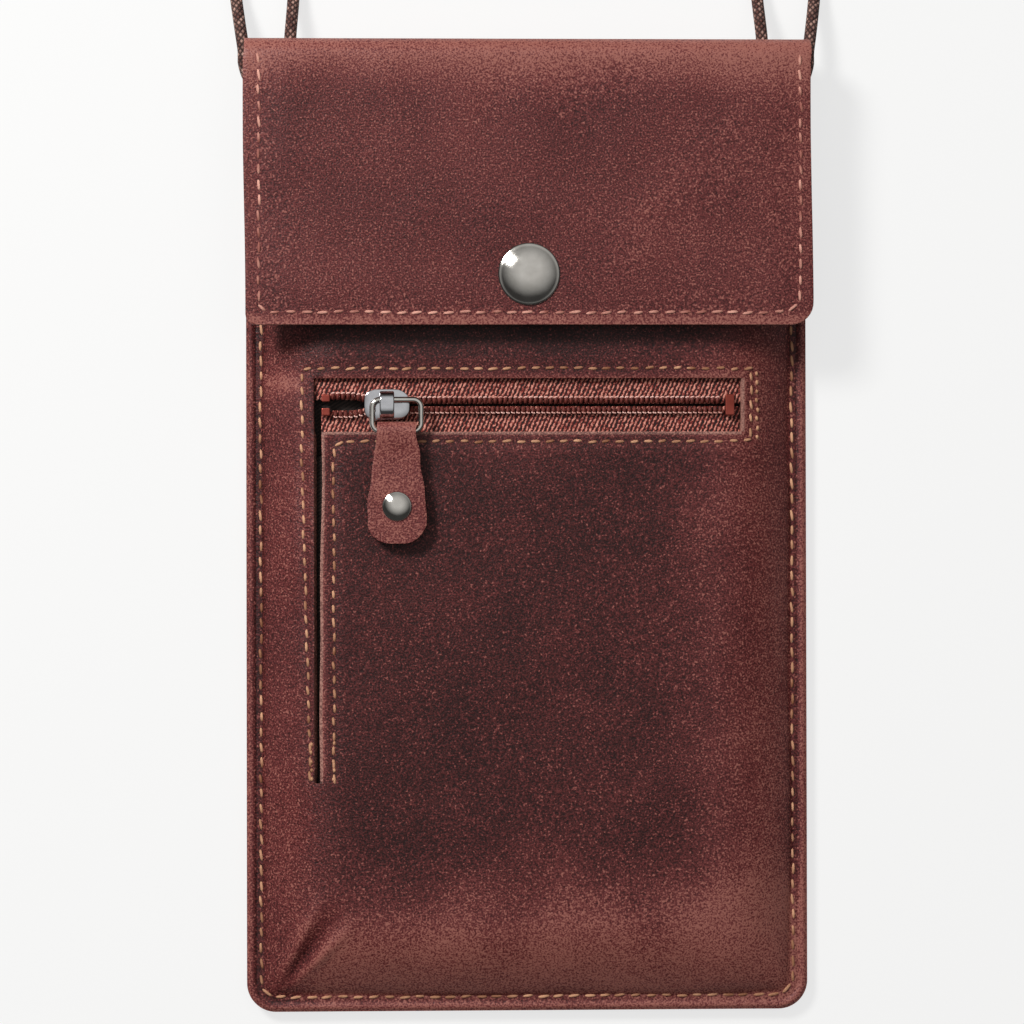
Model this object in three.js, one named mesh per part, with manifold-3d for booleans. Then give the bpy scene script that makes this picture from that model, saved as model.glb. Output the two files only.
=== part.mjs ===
// Leather neck wallet lying on its back: a stitched pouch with a zip pocket, a slip pocket,
// a press-stud flap and a neck cord. Millimetres, +X right, +Y towards the cord, +Z out of the front.
import * as THREE from "three";
import { mergeVertices } from "three/addons/utils/BufferGeometryUtils.js";
import Module from "manifold-3d";

const wasm = await Module();
wasm.setup();

// Pouch
const WIDTH = 116;
const HEIGHT = 200;
const CORNER_RADIUS = 6;
const LEATHER = 1.4;
const LINING = 0.4;
const LAYER_GAP = 0.2;
const CLEARANCE = 0.3;
const POCKET_DEPTH = 4.6;
const MOUTH_BELOW_TOP = 28;
const SEAM_WIDTH = 4;
const SLOPE_WIDTH = 7;
const FOLD_RADIUS = 3;
const FOLD_END_NOTCH = 3.5;

// Flap and press stud
const FLAP_LENGTH = 58.8;
const FLAP_LEFT_CORNER = 2.2;
const FLAP_RIGHT_CORNER = 4.6;
const FLAP_LIFT = 3.2;
const STUD_FROM_FLAP_EDGE = 10.3;
const STUD_BASE_DIAMETER = 9;
const STUD_BASE_THICKNESS = 0.6;
const STUD_BOSS_DIAMETER = 4.2;
const STUD_BOSS_HEIGHT = 1.5;
const STUD_POST_DIAMETER = 3;
const STUD_WASHER_THICKNESS = 0.6;
const SOCKET_DIAMETER = 9.6;
const SOCKET_ROOF = 0.5;
const CAP_DIAMETER = 12.6;
const CAP_RISE = 1.8;

// Zip, its window in the front and the slip pocket's slit
const ZIP_FROM_TOP = 75;
const WINDOW_FROM_SIDE = 14;
const WINDOW_HEIGHT = 11;
const SLIT_WIDTH = 1.2;
const SLIT_LENGTH = 72;
const TAPE_THICKNESS = 0.5;
const TAPE_WIDTH = 9.4;
const TAPE_PAST_WINDOW = 3;
const COIL_WIDTH = 1.6;
const COIL_HEIGHT = 1.3;
const CHAIN_SLOT = 1.2;
const STOP_LENGTH = 1.8;
const STOP_FROM_WINDOW_END = 1.6;
const SLIDER_LENGTH = 9.3;
const SLIDER_PLATE = 0.8;
const SLIDER_FLANGE = 0.7;
const SLIDER_FROM_WINDOW_END = 15;
const SLIDER_NOSE_CORNER = 2;
const SLIDER_TAIL_CORNER = 1;
const NECK_FROM_NOSE = 1;
const FLANGE_FROM_NOSE = 2;
const FLANGE_FROM_TAIL = 1;
const CROWN_LENGTH = 3;
const CROWN_LEG = 0.9;
const CROWN_BAR = 0.8;

// Pull
const RING_WIRE = 1.2;
const RING_WIDTH = 10;
const RING_REACH = 6.4;
const RING_ABOVE_CHAIN = 1;
const RING_SIDE_SHIFT = 2;
const RING_CORNER = 1.6;
const TAB_LEATHER = 1;
const TAB_LENGTH = 23;
const TAB_TOP_WIDTH = 8;
const TAB_SHOULDER_WIDTH = 9.4;
const TAB_SHOULDER_DROP = 3;
const TAB_END_WIDTH = 12;
const TAB_END_CORNER = 4;
const RIVET_FROM_TAB_END = 7.6;
const RIVET_CAP_DIAMETER = 6;
const RIVET_CAP_RISE = 1;
const RIVET_BACK_DIAMETER = 5;
const RIVET_BACK_THICKNESS = 0.5;
const RIVET_POST_DIAMETER = 2.4;

// Pocket liners
const ZIP_BAG_PAST_SLIP_BAG = 5.7;
const ZIP_BAG_PAST_TAPE = 2;
const SLIP_BAG_WIDTH = 42;
const BAG_HEM = 1.5;

// Stitching
const THREAD = 0.6;
const THREAD_RISE = 0.4;
const STITCH_INSET = 2.6;

// Neck cord, its loops, knots and coil
const CORD_DIAMETER = 2.5;
const CORD_HOLE_FROM_SIDE = 9.3;
const CORD_HOLE_HEIGHT = 6;
const CORD_HOLE_CLEARANCE = 0.55;
const KNOT_FROM_SIDE = 2.5;
const KNOT_PAST_TOP = 39;
const KNOT_Z = 4;
const KNOT_SIZE = [5.2, 5.6, 3.9];
const KNOT_HALF_LENGTH = 4.6;
const COIL_PAST_TOP = 40;
const COIL_RADIUS = 21;
const COIL_TURNS = 4;
const COIL_PITCH = 3;
const COIL_STEPS = 24;
const TIE_THICKNESS = 0.5;
const TIE_WIDTH = 6;
const STRAND_SPREAD = 1.6;
const LEAD_DIP = 0.5;
const LOOP_STEPS = 32;
const LEAD_STEPS = 10;

// Heights and places that follow from the sizes
const TOP_Y = HEIGHT / 2;
const MOUTH_Y = TOP_Y - MOUTH_BELOW_TOP;
const LINING_Z = LEATHER + LAYER_GAP / 2;
const FLANGE_Z = LEATHER + LAYER_GAP;
const FLANGE_TOP = FLANGE_Z + LEATHER;
const BAG_Z = LINING_Z + LINING + POCKET_DEPTH;
const SLIDER_BOTTOM_Z = BAG_Z + LINING + CLEARANCE;
const TAPE_Z = SLIDER_BOTTOM_Z + SLIDER_PLATE + CLEARANCE;
const TAPE_TOP = TAPE_Z + TAPE_THICKNESS;
const FRONT_UNDER = TAPE_TOP + LAYER_GAP;
const FRONT_TOP = FRONT_UNDER + LEATHER;
const FLAP_LINING_Z = FRONT_TOP + FLAP_LIFT;
const FLAP_Z = FLAP_LINING_Z + LINING + LAYER_GAP / 2;
const FLAP_TOP = FLAP_Z + LEATHER;
const FLAP_EDGE_Y = TOP_Y - FLAP_LENGTH;
const FLAP_ROOT_Y = TOP_Y - LEATHER - CLEARANCE;
const STUD_Y = FLAP_EDGE_Y + STUD_FROM_FLAP_EDGE;
const ZIP_Y = TOP_Y - ZIP_FROM_TOP;
const WINDOW_WIDTH = WIDTH - 2 * WINDOW_FROM_SIDE;
const TAPE_LENGTH = WINDOW_WIDTH + 2 * TAPE_PAST_WINDOW;
const ZIP_BAG_WIDTH = TAPE_LENGTH + 2 * ZIP_BAG_PAST_TAPE;
const COIL_Z = TAPE_TOP + LAYER_GAP / 2;
const COIL_TOP = COIL_Z + COIL_HEIGHT;
const CHAIN_HALF = CHAIN_SLOT / 2 + COIL_WIDTH;
const STOP_OUTER_X = WINDOW_WIDTH / 2 - STOP_FROM_WINDOW_END;
const STOP_INNER_X = STOP_OUTER_X - STOP_LENGTH;
const SLIDER_X = SLIDER_FROM_WINDOW_END - WINDOW_WIDTH / 2;
const SLIDER_TOP_Z = COIL_TOP + CLEARANCE;
const SLIDER_HALF_WIDTH = CHAIN_HALF + CLEARANCE + SLIDER_FLANGE;
const CROWN_Z = SLIDER_TOP_Z + SLIDER_PLATE;
const TAB_LOOP_INNER = RING_WIRE / 2 + CLEARANCE;
const TAB_LOOP_OUTER = TAB_LOOP_INNER + TAB_LEATHER;
const RING_Z = FRONT_TOP + CLEARANCE + TAB_LOOP_OUTER;
const CROWN_OPENING_TOP = RING_Z + RING_WIRE / 2 + CLEARANCE;
const RING_X = SLIDER_X + RING_SIDE_SHIFT;
const RING_Y = ZIP_Y + RING_ABOVE_CHAIN;
const TAB_Y = RING_Y - RING_REACH;
const TAB_HALF_THICKNESS = TAB_LEATHER + LAYER_GAP / 4;
const TAB_END_Y = TAB_Y - TAB_LENGTH;
const RIVET_Y = TAB_END_Y + RIVET_FROM_TAB_END;
const CORD_HOLE_X = WIDTH / 2 - CORD_HOLE_FROM_SIDE;
const KNOT_X = WIDTH / 2 - KNOT_FROM_SIDE;
const KNOT_Y = TOP_Y + KNOT_PAST_TOP;
const COIL_CENTRE_Y = TOP_Y + COIL_PAST_TOP;
const COIL_LOWER_Z = TIE_THICKNESS + CLEARANCE + LAYER_GAP / 2 + CORD_DIAMETER / 2;
const COIL_UPPER_Z = COIL_LOWER_Z + COIL_PITCH;
const COIL_INNER_RADIUS = COIL_RADIUS - COIL_TURNS * COIL_PITCH;
const COIL_ENTRY_Y = COIL_CENTRE_Y + COIL_RADIUS;

const neckWallet = new THREE.Group();

// Materials
const finish = (color, roughness, metalness = 0) => () =>
  new THREE.MeshStandardMaterial({ color, roughness, metalness });
const brownLeather = finish(0x6a3b37, 0.5);
const darkLining = finish(0x2e2320, 0.9);
const tapeCloth = finish(0x7e4c44, 0.85);
const coilNylon = finish(0x60342f, 0.45);
const gunmetal = finish(0x4a4a4c, 0.35, 1);
const polishedSteel = finish(0xb8b4ae, 0.25, 1);
const thread = finish(0xb88882, 0.7);
const cordBraid = finish(0x2b2220, 0.85);

// A merged mesh as a solid that can be joined and cut, and back again.
function solid(geometry) {
  const bare = geometry.clone();
  bare.deleteAttribute("normal");
  bare.deleteAttribute("uv");
  const merged = mergeVertices(bare, 1e-4);
  return new wasm.Manifold(
    new wasm.Mesh({
      numProp: 3,
      vertProperties: merged.attributes.position.array,
      triVerts: new Uint32Array(merged.index.array),
    }),
  );
}

function geometryOf(body) {
  const mesh = body.getMesh();
  const geometry = new THREE.BufferGeometry();
  geometry.setAttribute("position", new THREE.BufferAttribute(mesh.vertProperties, 3));
  geometry.setIndex(new THREE.BufferAttribute(mesh.triVerts, 1));
  geometry.computeVertexNormals();
  return geometry;
}

function add(name, shape, material) {
  const geometry = shape.isBufferGeometry ? shape : geometryOf(shape);
  const mesh = new THREE.Mesh(geometry, material());
  mesh.name = name;
  neckWallet.add(mesh);
}

// A block given by its lowest and highest corners.
function block(low, high) {
  const size = high.map((value, axis) => value - low[axis]);
  const middle = high.map((value, axis) => (value + low[axis]) / 2);
  return new THREE.BoxGeometry(...size).translate(...middle);
}

// A flat outline raised from one height to another.
function plate(shape, bottom, top) {
  const settings = { depth: top - bottom, bevelEnabled: false, curveSegments: 4 };
  return new THREE.ExtrudeGeometry(shape, settings).translate(0, 0, bottom);
}

// A rectangle whose four corners are rounded: low left, low right, high right, high left.
function roundedRectangle(left, low, right, high, radii) {
  const [lowLeft, lowRight, highRight, highLeft] = radii;
  const shape = new THREE.Shape();
  shape.moveTo(left + lowLeft, low);
  shape.lineTo(right - lowRight, low);
  if (lowRight) shape.absarc(right - lowRight, low + lowRight, lowRight, -Math.PI / 2, 0);
  shape.lineTo(right, high - highRight);
  if (highRight) shape.absarc(right - highRight, high - highRight, highRight, 0, Math.PI / 2);
  shape.lineTo(left + highLeft, high);
  if (highLeft) shape.absarc(left + highLeft, high - highLeft, highLeft, Math.PI / 2, Math.PI);
  shape.lineTo(left, low + lowLeft);
  if (lowLeft) shape.absarc(left + lowLeft, low + lowLeft, lowLeft, Math.PI, Math.PI * 1.5);
  return shape;
}

function disc(diameter, bottom, top, x, y, sides = 24) {
  return new THREE.CylinderGeometry(diameter / 2, diameter / 2, top - bottom, sides)
    .rotateX(Math.PI / 2)
    .translate(x, y, (bottom + top) / 2);
}

// A turned piece: pairs of radius and height from its top to its foot, closed on its own axis.
function turned(profile, x, y, sides = 24) {
  const points = profile.map(([radius, height]) => new THREE.Vector2(radius, height)).reverse();
  return new THREE.LatheGeometry(points, sides).rotateX(Math.PI / 2).translate(x, y, 0);
}

function section(radius, sides) {
  const corners = Array.from({ length: sides }, (_, i) => {
    const angle = (i / sides) * Math.PI * 2;
    return new THREE.Vector2(Math.cos(angle) * radius, Math.sin(angle) * radius);
  });
  return new THREE.Shape(corners);
}

// A cord along points chosen by hand.
function cordTube(points, steps) {
  const curve = new THREE.CatmullRomCurve3(points.map((p) => new THREE.Vector3(...p)));
  const settings = { steps, bevelEnabled: false, extrudePath: curve };
  return new THREE.ExtrudeGeometry(section(CORD_DIAMETER / 2, 8), settings);
}

// Back: one hide, flat behind the pouch and turned up at the top into the fold that the flap hangs on.
// The fold is notched at both ends and holed twice for the neck cord.
function backPanel() {
  const outline = roundedRectangle(
    -WIDTH / 2, -TOP_Y, WIDTH / 2, TOP_Y, [CORNER_RADIUS, CORNER_RADIUS, 0, 0],
  );
  const inner = FOLD_RADIUS - LEATHER;
  const fold = new THREE.Shape();
  fold.moveTo(TOP_Y - FOLD_RADIUS, 0);
  fold.absarc(TOP_Y - FOLD_RADIUS, FOLD_RADIUS, FOLD_RADIUS, -Math.PI / 2, 0);
  fold.lineTo(TOP_Y, FLAP_TOP - CLEARANCE);
  fold.lineTo(TOP_Y - LEATHER, FLAP_TOP - CLEARANCE);
  fold.lineTo(TOP_Y - LEATHER, FOLD_RADIUS);
  fold.absarc(TOP_Y - FOLD_RADIUS, FOLD_RADIUS, inner, 0, -Math.PI / 2, true);
  const foldLength = WIDTH - 2 * FOLD_END_NOTCH;
  const settings = { depth: foldLength, bevelEnabled: false, curveSegments: 4 };
  const wall = new THREE.ExtrudeGeometry(fold, settings)
    .rotateY(Math.PI / 2)
    .rotateX(Math.PI / 2)
    .translate(-foldLength / 2, 0, 0);
  const flat = solid(plate(outline, 0, LEATHER)).subtract(
    solid(block([-WIDTH, TOP_Y - FOLD_RADIUS, -LEATHER], [WIDTH, TOP_Y + LEATHER, FLANGE_TOP])),
  );
  const holes = [-1, 1].map((side) =>
    solid(
      disc(CORD_DIAMETER + 2 * CORD_HOLE_CLEARANCE, -FOLD_RADIUS, FOLD_RADIUS, 0, 0, 12)
        .rotateX(Math.PI / 2)
        .translate(side * CORD_HOLE_X, TOP_Y, CORD_HOLE_HEIGHT),
    ),
  );
  return flat.add(solid(wall)).subtract(holes[0]).subtract(holes[1]);
}

// A pillow with a flat top: its rounded side runs out from the flat by reach and down by drop.
function pillow(reach, drop) {
  const inset = SEAM_WIDTH + SLOPE_WIDTH;
  const half = WIDTH / 2 - inset;
  const low = -TOP_Y + inset;
  const flat = roundedRectangle(
    -half, low, half, TOP_Y + inset, [CORNER_RADIUS, CORNER_RADIUS, 0, 0],
  );
  const settings = {
    depth: LEATHER,
    bevelSize: reach,
    bevelThickness: drop,
    bevelSegments: 4,
    curveSegments: 3,
  };
  return solid(new THREE.ExtrudeGeometry(flat, settings).translate(0, 0, FLANGE_TOP - LEATHER));
}

// Front: a hide drawn up from its seam into a shallow tray, open at the mouth under the flap,
// with a window for the zip and a slit that runs down from the window's left end.
function frontPanel() {
  const outline = roundedRectangle(
    -WIDTH / 2, -TOP_Y, WIDTH / 2, MOUTH_Y, [CORNER_RADIUS, CORNER_RADIUS, 0, 0],
  );
  const drop = FRONT_TOP - FLANGE_TOP;
  const far = WIDTH + HEIGHT;
  const windowLow = ZIP_Y - WINDOW_HEIGHT / 2;
  const windowLeft = -WINDOW_WIDTH / 2;
  return pillow(SLOPE_WIDTH, drop)
    .add(solid(plate(outline, FLANGE_Z, FLANGE_TOP)))
    .subtract(pillow(SLOPE_WIDTH - LEATHER, drop - LEATHER))
    .subtract(solid(block([-far, -far, -far], [far, far, FLANGE_Z])))
    .subtract(solid(block([-far, MOUTH_Y, -far], [far, far, far])))
    .subtract(
      solid(
        block(
          [windowLeft, windowLow, FLANGE_TOP],
          [WINDOW_WIDTH / 2, ZIP_Y + WINDOW_HEIGHT / 2, far],
        ),
      ),
    )
    .subtract(
      solid(
        block(
          [windowLeft, windowLow - SLIT_LENGTH, FLANGE_TOP],
          [windowLeft + SLIT_WIDTH, ZIP_Y, far],
        ),
      ),
    )
    .subtract(solid(disc(STUD_POST_DIAMETER + 2 * CLEARANCE, 0, far, 0, STUD_Y)));
}

// Linings: a cloth sheet on the back, the zip pocket's bag and the slip pocket's bag.
function linings() {
  const inset = SEAM_WIDTH + SLOPE_WIDTH;
  add(
    "back_lining",
    block(
      [inset - WIDTH / 2, inset - TOP_Y, LINING_Z],
      [WIDTH / 2 - inset, TOP_Y - inset, LINING_Z + LINING],
    ),
    darkLining,
  );
  const hemTop = FRONT_UNDER - CLEARANCE;
  const slipLow = ZIP_Y - WINDOW_HEIGHT / 2 - SLIT_LENGTH - 2 * BAG_HEM;
  const bagTop = ZIP_Y + CHAIN_SLOT / 2 + TAPE_WIDTH + CLEARANCE + BAG_HEM;
  const bagLow = slipLow - ZIP_BAG_PAST_SLIP_BAG;
  const bagHalf = ZIP_BAG_WIDTH / 2;
  const hemHalf = TAPE_LENGTH / 2;
  const bag = solid(block([-bagHalf, bagLow, BAG_Z], [bagHalf, bagTop, BAG_Z + LINING]))
    .add(solid(block([-hemHalf, bagTop - BAG_HEM, BAG_Z], [hemHalf, bagTop, hemTop])))
    .add(solid(block([-hemHalf, bagLow, BAG_Z], [hemHalf, bagLow + BAG_HEM, hemTop])));
  add("zip_pocket_bag", bag, darkLining);

  const slipLeft = -TAPE_LENGTH / 2;
  const slipRight = slipLeft + SLIP_BAG_WIDTH;
  const slipTop = ZIP_Y - CHAIN_SLOT / 2 - TAPE_WIDTH - CLEARANCE;
  const slipZ = SLIDER_BOTTOM_Z + CLEARANCE;
  const slip = solid(block([slipLeft, slipLow, slipZ], [slipRight, slipTop, slipZ + LINING]))
    .add(solid(block([slipLeft, slipLow, slipZ], [slipLeft + BAG_HEM, slipTop, hemTop])))
    .add(solid(block([slipRight - BAG_HEM, slipLow, slipZ], [slipRight, slipTop, hemTop])));
  add("slip_pocket_bag", slip, darkLining);
}

// Zip: two woven tapes, each with a row of nylon coil, and stops at the ends of the rows.
function zip() {
  for (const [name, side] of [["upper", 1], ["lower", -1]]) {
    const between = (near, width) =>
      [ZIP_Y + side * near, ZIP_Y + side * (near + width)].sort((a, b) => a - b);
    const [tapeLow, tapeHigh] = between(CHAIN_SLOT / 2, TAPE_WIDTH);
    const [rowLow, rowHigh] = between(CHAIN_SLOT / 2, COIL_WIDTH);
    const rowEnd = STOP_INNER_X - LAYER_GAP;
    add(
      `zip_tape_${name}`,
      block([-TAPE_LENGTH / 2, tapeLow, TAPE_Z], [TAPE_LENGTH / 2, tapeHigh, TAPE_TOP]),
      tapeCloth,
    );
    add(`zip_coil_${name}`, block([-rowEnd, rowLow, COIL_Z], [rowEnd, rowHigh, COIL_TOP]), coilNylon);
    add(
      `zip_top_stop_${name}`,
      block([-STOP_OUTER_X, rowLow, COIL_Z], [-STOP_INNER_X, rowHigh, COIL_TOP]),
      gunmetal,
    );
  }
  add(
    "zip_bottom_stop",
    block(
      [STOP_INNER_X, ZIP_Y - CHAIN_HALF, COIL_Z],
      [STOP_OUTER_X, ZIP_Y + CHAIN_HALF, COIL_TOP],
    ),
    gunmetal,
  );
}

// Slider: a plate over the rows and one under the tapes, joined by a neck that runs between the rows,
// with guide flanges beside the rows and a bridge on top for the ring.
function slider() {
  const half = SLIDER_LENGTH / 2;
  const place = (low, high) =>
    solid(block(low, high).translate(SLIDER_X, ZIP_Y, 0));
  const neckHalf = CHAIN_SLOT / 2 - CLEARANCE;
  const wide = SLIDER_HALF_WIDTH;
  const corners = [SLIDER_NOSE_CORNER, SLIDER_TAIL_CORNER, SLIDER_TAIL_CORNER, SLIDER_NOSE_CORNER];
  const top = roundedRectangle(-half, -wide, half, wide, corners);
  const flangeInner = wide - SLIDER_FLANGE;
  const flangeLow = TAPE_TOP + CLEARANCE;
  const crownHalf = CROWN_LENGTH / 2;
  const crownWide = wide - SLIDER_FLANGE / 2;
  const crownTop = CROWN_OPENING_TOP + CROWN_BAR;
  const opening = crownWide - CROWN_LEG;
  let body = solid(plate(top, SLIDER_TOP_Z, CROWN_Z).translate(SLIDER_X, ZIP_Y, 0))
    .add(
      solid(
        plate(top, SLIDER_BOTTOM_Z, SLIDER_BOTTOM_Z + SLIDER_PLATE).translate(SLIDER_X, ZIP_Y, 0),
      ),
    )
    .add(place([-half + NECK_FROM_NOSE, -neckHalf, SLIDER_BOTTOM_Z], [0, neckHalf, CROWN_Z]));
  for (const [low, high] of [[flangeInner, wide], [-wide, -flangeInner]]) {
    body = body.add(
      place([-half + FLANGE_FROM_NOSE, low, flangeLow], [half - FLANGE_FROM_TAIL, high, CROWN_Z]),
    );
  }
  const bridge = place([-crownHalf, -crownWide, SLIDER_TOP_Z], [crownHalf, crownWide, crownTop])
    .subtract(place([-half, -opening, CROWN_Z], [half, opening, CROWN_OPENING_TOP]));
  add("zip_slider", body.add(bridge), gunmetal);
}

// Pull: a wire ring through the slider's bridge and a folded leather tab with its rivet.
function pull() {
  const outer = roundedRectangle(
    RING_X - RING_WIDTH / 2, TAB_Y, RING_X + RING_WIDTH / 2, RING_Y, Array(4).fill(RING_CORNER),
  );
  const corners = outer.getSpacedPoints(40).slice(0, -1);
  const loop = new THREE.CatmullRomCurve3(
    corners.map((p) => new THREE.Vector3(p.x, p.y, RING_Z)), true,
  );
  add("pull_ring", closedTube(loop, RING_WIRE / 2, 40, 8), polishedSteel);

  const profile = new THREE.Shape();
  profile.absarc(TAB_Y, RING_Z, TAB_LOOP_OUTER, -Math.PI * 0.6, Math.PI * 0.6);
  profile.lineTo(RIVET_Y + RIVET_CAP_DIAMETER / 2, RING_Z + TAB_HALF_THICKNESS);
  profile.lineTo(TAB_END_Y, RING_Z + TAB_HALF_THICKNESS);
  profile.lineTo(TAB_END_Y, RING_Z - TAB_HALF_THICKNESS);
  profile.lineTo(RIVET_Y + RIVET_CAP_DIAMETER / 2, RING_Z - TAB_HALF_THICKNESS);
  const eye = new THREE.Path();
  eye.absarc(TAB_Y, RING_Z, TAB_LOOP_INNER, 0, Math.PI * 2);
  profile.holes.push(eye);
  const settings = { depth: TAB_END_WIDTH, bevelEnabled: false, curveSegments: 8 };
  const folded = new THREE.ExtrudeGeometry(profile, settings)
    .rotateY(Math.PI / 2)
    .rotateX(Math.PI / 2)
    .translate(RING_X - TAB_END_WIDTH / 2, 0, 0);
  const plan = new THREE.Shape();
  const endHalf = TAB_END_WIDTH / 2;
  const topHalf = TAB_TOP_WIDTH / 2;
  const shoulderHalf = TAB_SHOULDER_WIDTH / 2;
  const topY = TAB_Y + TAB_LOOP_OUTER + CLEARANCE;
  plan.moveTo(RING_X - topHalf, topY);
  plan.lineTo(RING_X - topHalf, TAB_Y - TAB_LOOP_OUTER);
  plan.lineTo(RING_X - shoulderHalf, TAB_Y - TAB_LOOP_OUTER - TAB_SHOULDER_DROP);
  plan.lineTo(RING_X - endHalf, RIVET_Y);
  plan.lineTo(RING_X - endHalf, TAB_END_Y + TAB_END_CORNER);
  plan.quadraticCurveTo(RING_X - endHalf, TAB_END_Y, RING_X - endHalf + TAB_END_CORNER, TAB_END_Y);
  plan.lineTo(RING_X + endHalf - TAB_END_CORNER, TAB_END_Y);
  plan.quadraticCurveTo(RING_X + endHalf, TAB_END_Y, RING_X + endHalf, TAB_END_Y + TAB_END_CORNER);
  plan.lineTo(RING_X + endHalf, RIVET_Y);
  plan.lineTo(RING_X + shoulderHalf, TAB_Y - TAB_LOOP_OUTER - TAB_SHOULDER_DROP);
  plan.lineTo(RING_X + topHalf, TAB_Y - TAB_LOOP_OUTER);
  plan.lineTo(RING_X + topHalf, topY);
  const cookie = solid(plate(plan, RING_Z - 2 * TAB_LOOP_OUTER, RING_Z + 2 * TAB_LOOP_OUTER));
  const hole = disc(
    RIVET_POST_DIAMETER + 2 * CLEARANCE, FLANGE_TOP, RING_Z + 2 * TAB_LOOP_OUTER, RING_X, RIVET_Y, 12,
  );
  add("pull_tab", solid(folded).intersect(cookie).subtract(solid(hole)), brownLeather);

  const capLow = RING_Z + TAB_HALF_THICKNESS + LAYER_GAP / 2;
  const backTop = RING_Z - TAB_HALF_THICKNESS - LAYER_GAP / 2;
  const capRadius = RIVET_CAP_DIAMETER / 2;
  const postRadius = RIVET_POST_DIAMETER / 2;
  add(
    "pull_rivet_cap",
    turned(
      [
        [0, capLow + RIVET_CAP_RISE],
        [capRadius * 0.6, capLow + RIVET_CAP_RISE * 0.85],
        [capRadius, capLow + RIVET_CAP_RISE * 0.3],
        [capRadius, capLow],
        [postRadius, capLow],
        [postRadius, backTop + LAYER_GAP / 2],
        [0, backTop + LAYER_GAP / 2],
      ],
      RING_X, RIVET_Y, 20,
    ),
    polishedSteel,
  );
  add(
    "pull_rivet_back",
    disc(RIVET_BACK_DIAMETER, backTop - RIVET_BACK_THICKNESS, backTop, RING_X, RIVET_Y, 20),
    polishedSteel,
  );
}

// A closed wire: rings of points carried along the loop and joined end to end.
function closedTube(curve, radius, steps, sides) {
  const vertices = [];
  const faces = [];
  const up = new THREE.Vector3(0, 0, 1);
  for (let i = 0; i < steps; i++) {
    const point = curve.getPointAt(i / steps);
    const across = new THREE.Vector3().crossVectors(up, curve.getTangentAt(i / steps)).normalize();
    for (let j = 0; j < sides; j++) {
      const angle = (j / sides) * Math.PI * 2;
      const spot = point
        .clone()
        .addScaledVector(across, Math.cos(angle) * radius)
        .addScaledVector(up, Math.sin(angle) * radius);
      vertices.push(spot.x, spot.y, spot.z);
      const next = ((i + 1) % steps) * sides;
      const beside = (j + 1) % sides;
      faces.push(i * sides + j, i * sides + beside, next + j);
      faces.push(next + j, i * sides + beside, next + beside);
    }
  }
  const tube = new THREE.BufferGeometry();
  tube.setAttribute("position", new THREE.Float32BufferAttribute(vertices, 3));
  tube.setIndex(faces);
  return tube;
}

// Flap: leather with a cloth lining, and the press stud's cap and socket.
function flap() {
  const outline = (inset) =>
    roundedRectangle(
      inset - WIDTH / 2, FLAP_EDGE_Y + inset, WIDTH / 2 - inset, FLAP_ROOT_Y - inset,
      [FLAP_LEFT_CORNER, FLAP_RIGHT_CORNER, 0, 0],
    );
  const post = STUD_POST_DIAMETER + 2 * CLEARANCE;
  const hole = solid(disc(post, FRONT_TOP, FLAP_TOP + CAP_RISE, 0, STUD_Y));
  add("flap_leather", solid(plate(outline(0), FLAP_Z, FLAP_TOP)).subtract(hole), brownLeather);
  add(
    "flap_lining",
    solid(plate(outline(STITCH_INSET / 2), FLAP_LINING_Z, FLAP_LINING_Z + LINING)).subtract(hole),
    darkLining,
  );

  const capLow = FLAP_TOP + LAYER_GAP / 2;
  const socketTop = FLAP_LINING_Z - LAYER_GAP / 2;
  const capRadius = CAP_DIAMETER / 2;
  const postRadius = STUD_POST_DIAMETER / 2;
  add(
    "stud_cap",
    turned(
      [
        [0, capLow + CAP_RISE],
        [capRadius * 0.45, capLow + CAP_RISE * 0.92],
        [capRadius * 0.8, capLow + CAP_RISE * 0.65],
        [capRadius, capLow + CAP_RISE * 0.25],
        [capRadius, capLow],
        [postRadius, capLow],
        [postRadius, socketTop + LAYER_GAP / 2],
        [0, socketTop + LAYER_GAP / 2],
      ],
      0, STUD_Y, 28,
    ),
    polishedSteel,
  );
  const boss = STUD_BOSS_DIAMETER + 2 * CLEARANCE;
  const socketLow = FRONT_TOP + LAYER_GAP / 2 + STUD_BASE_THICKNESS + CLEARANCE;
  add(
    "stud_socket",
    solid(disc(SOCKET_DIAMETER, socketLow, socketTop, 0, STUD_Y)).subtract(
      solid(disc(boss, FRONT_TOP, socketTop - SOCKET_ROOF, 0, STUD_Y)),
    ),
    polishedSteel,
  );
}

// Male half of the press stud: a flange and boss on the front, riveted to a washer behind it.
function stud() {
  const base = FRONT_TOP + LAYER_GAP / 2;
  const washerTop = FRONT_UNDER - LAYER_GAP / 2;
  const washerLow = washerTop - STUD_WASHER_THICKNESS;
  const baseRadius = STUD_BASE_DIAMETER / 2;
  const bossRadius = STUD_BOSS_DIAMETER / 2;
  const postRadius = STUD_POST_DIAMETER / 2;
  const bossTop = base + STUD_BASE_THICKNESS + STUD_BOSS_HEIGHT;
  add(
    "stud_post",
    turned(
      [
        [0, bossTop],
        [bossRadius * 0.7, bossTop],
        [bossRadius, bossTop - STUD_BOSS_HEIGHT / 3],
        [bossRadius, base + STUD_BASE_THICKNESS],
        [baseRadius, base + STUD_BASE_THICKNESS],
        [baseRadius, base],
        [postRadius, base],
        [postRadius, washerLow],
        [0, washerLow],
      ],
      0, STUD_Y,
    ),
    polishedSteel,
  );
  add(
    "stud_washer",
    solid(disc(STUD_BASE_DIAMETER, washerLow, washerTop, 0, STUD_Y)).subtract(
      solid(disc(STUD_POST_DIAMETER + 2 * CLEARANCE, 0, FRONT_TOP, 0, STUD_Y)),
    ),
    polishedSteel,
  );
}

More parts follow.
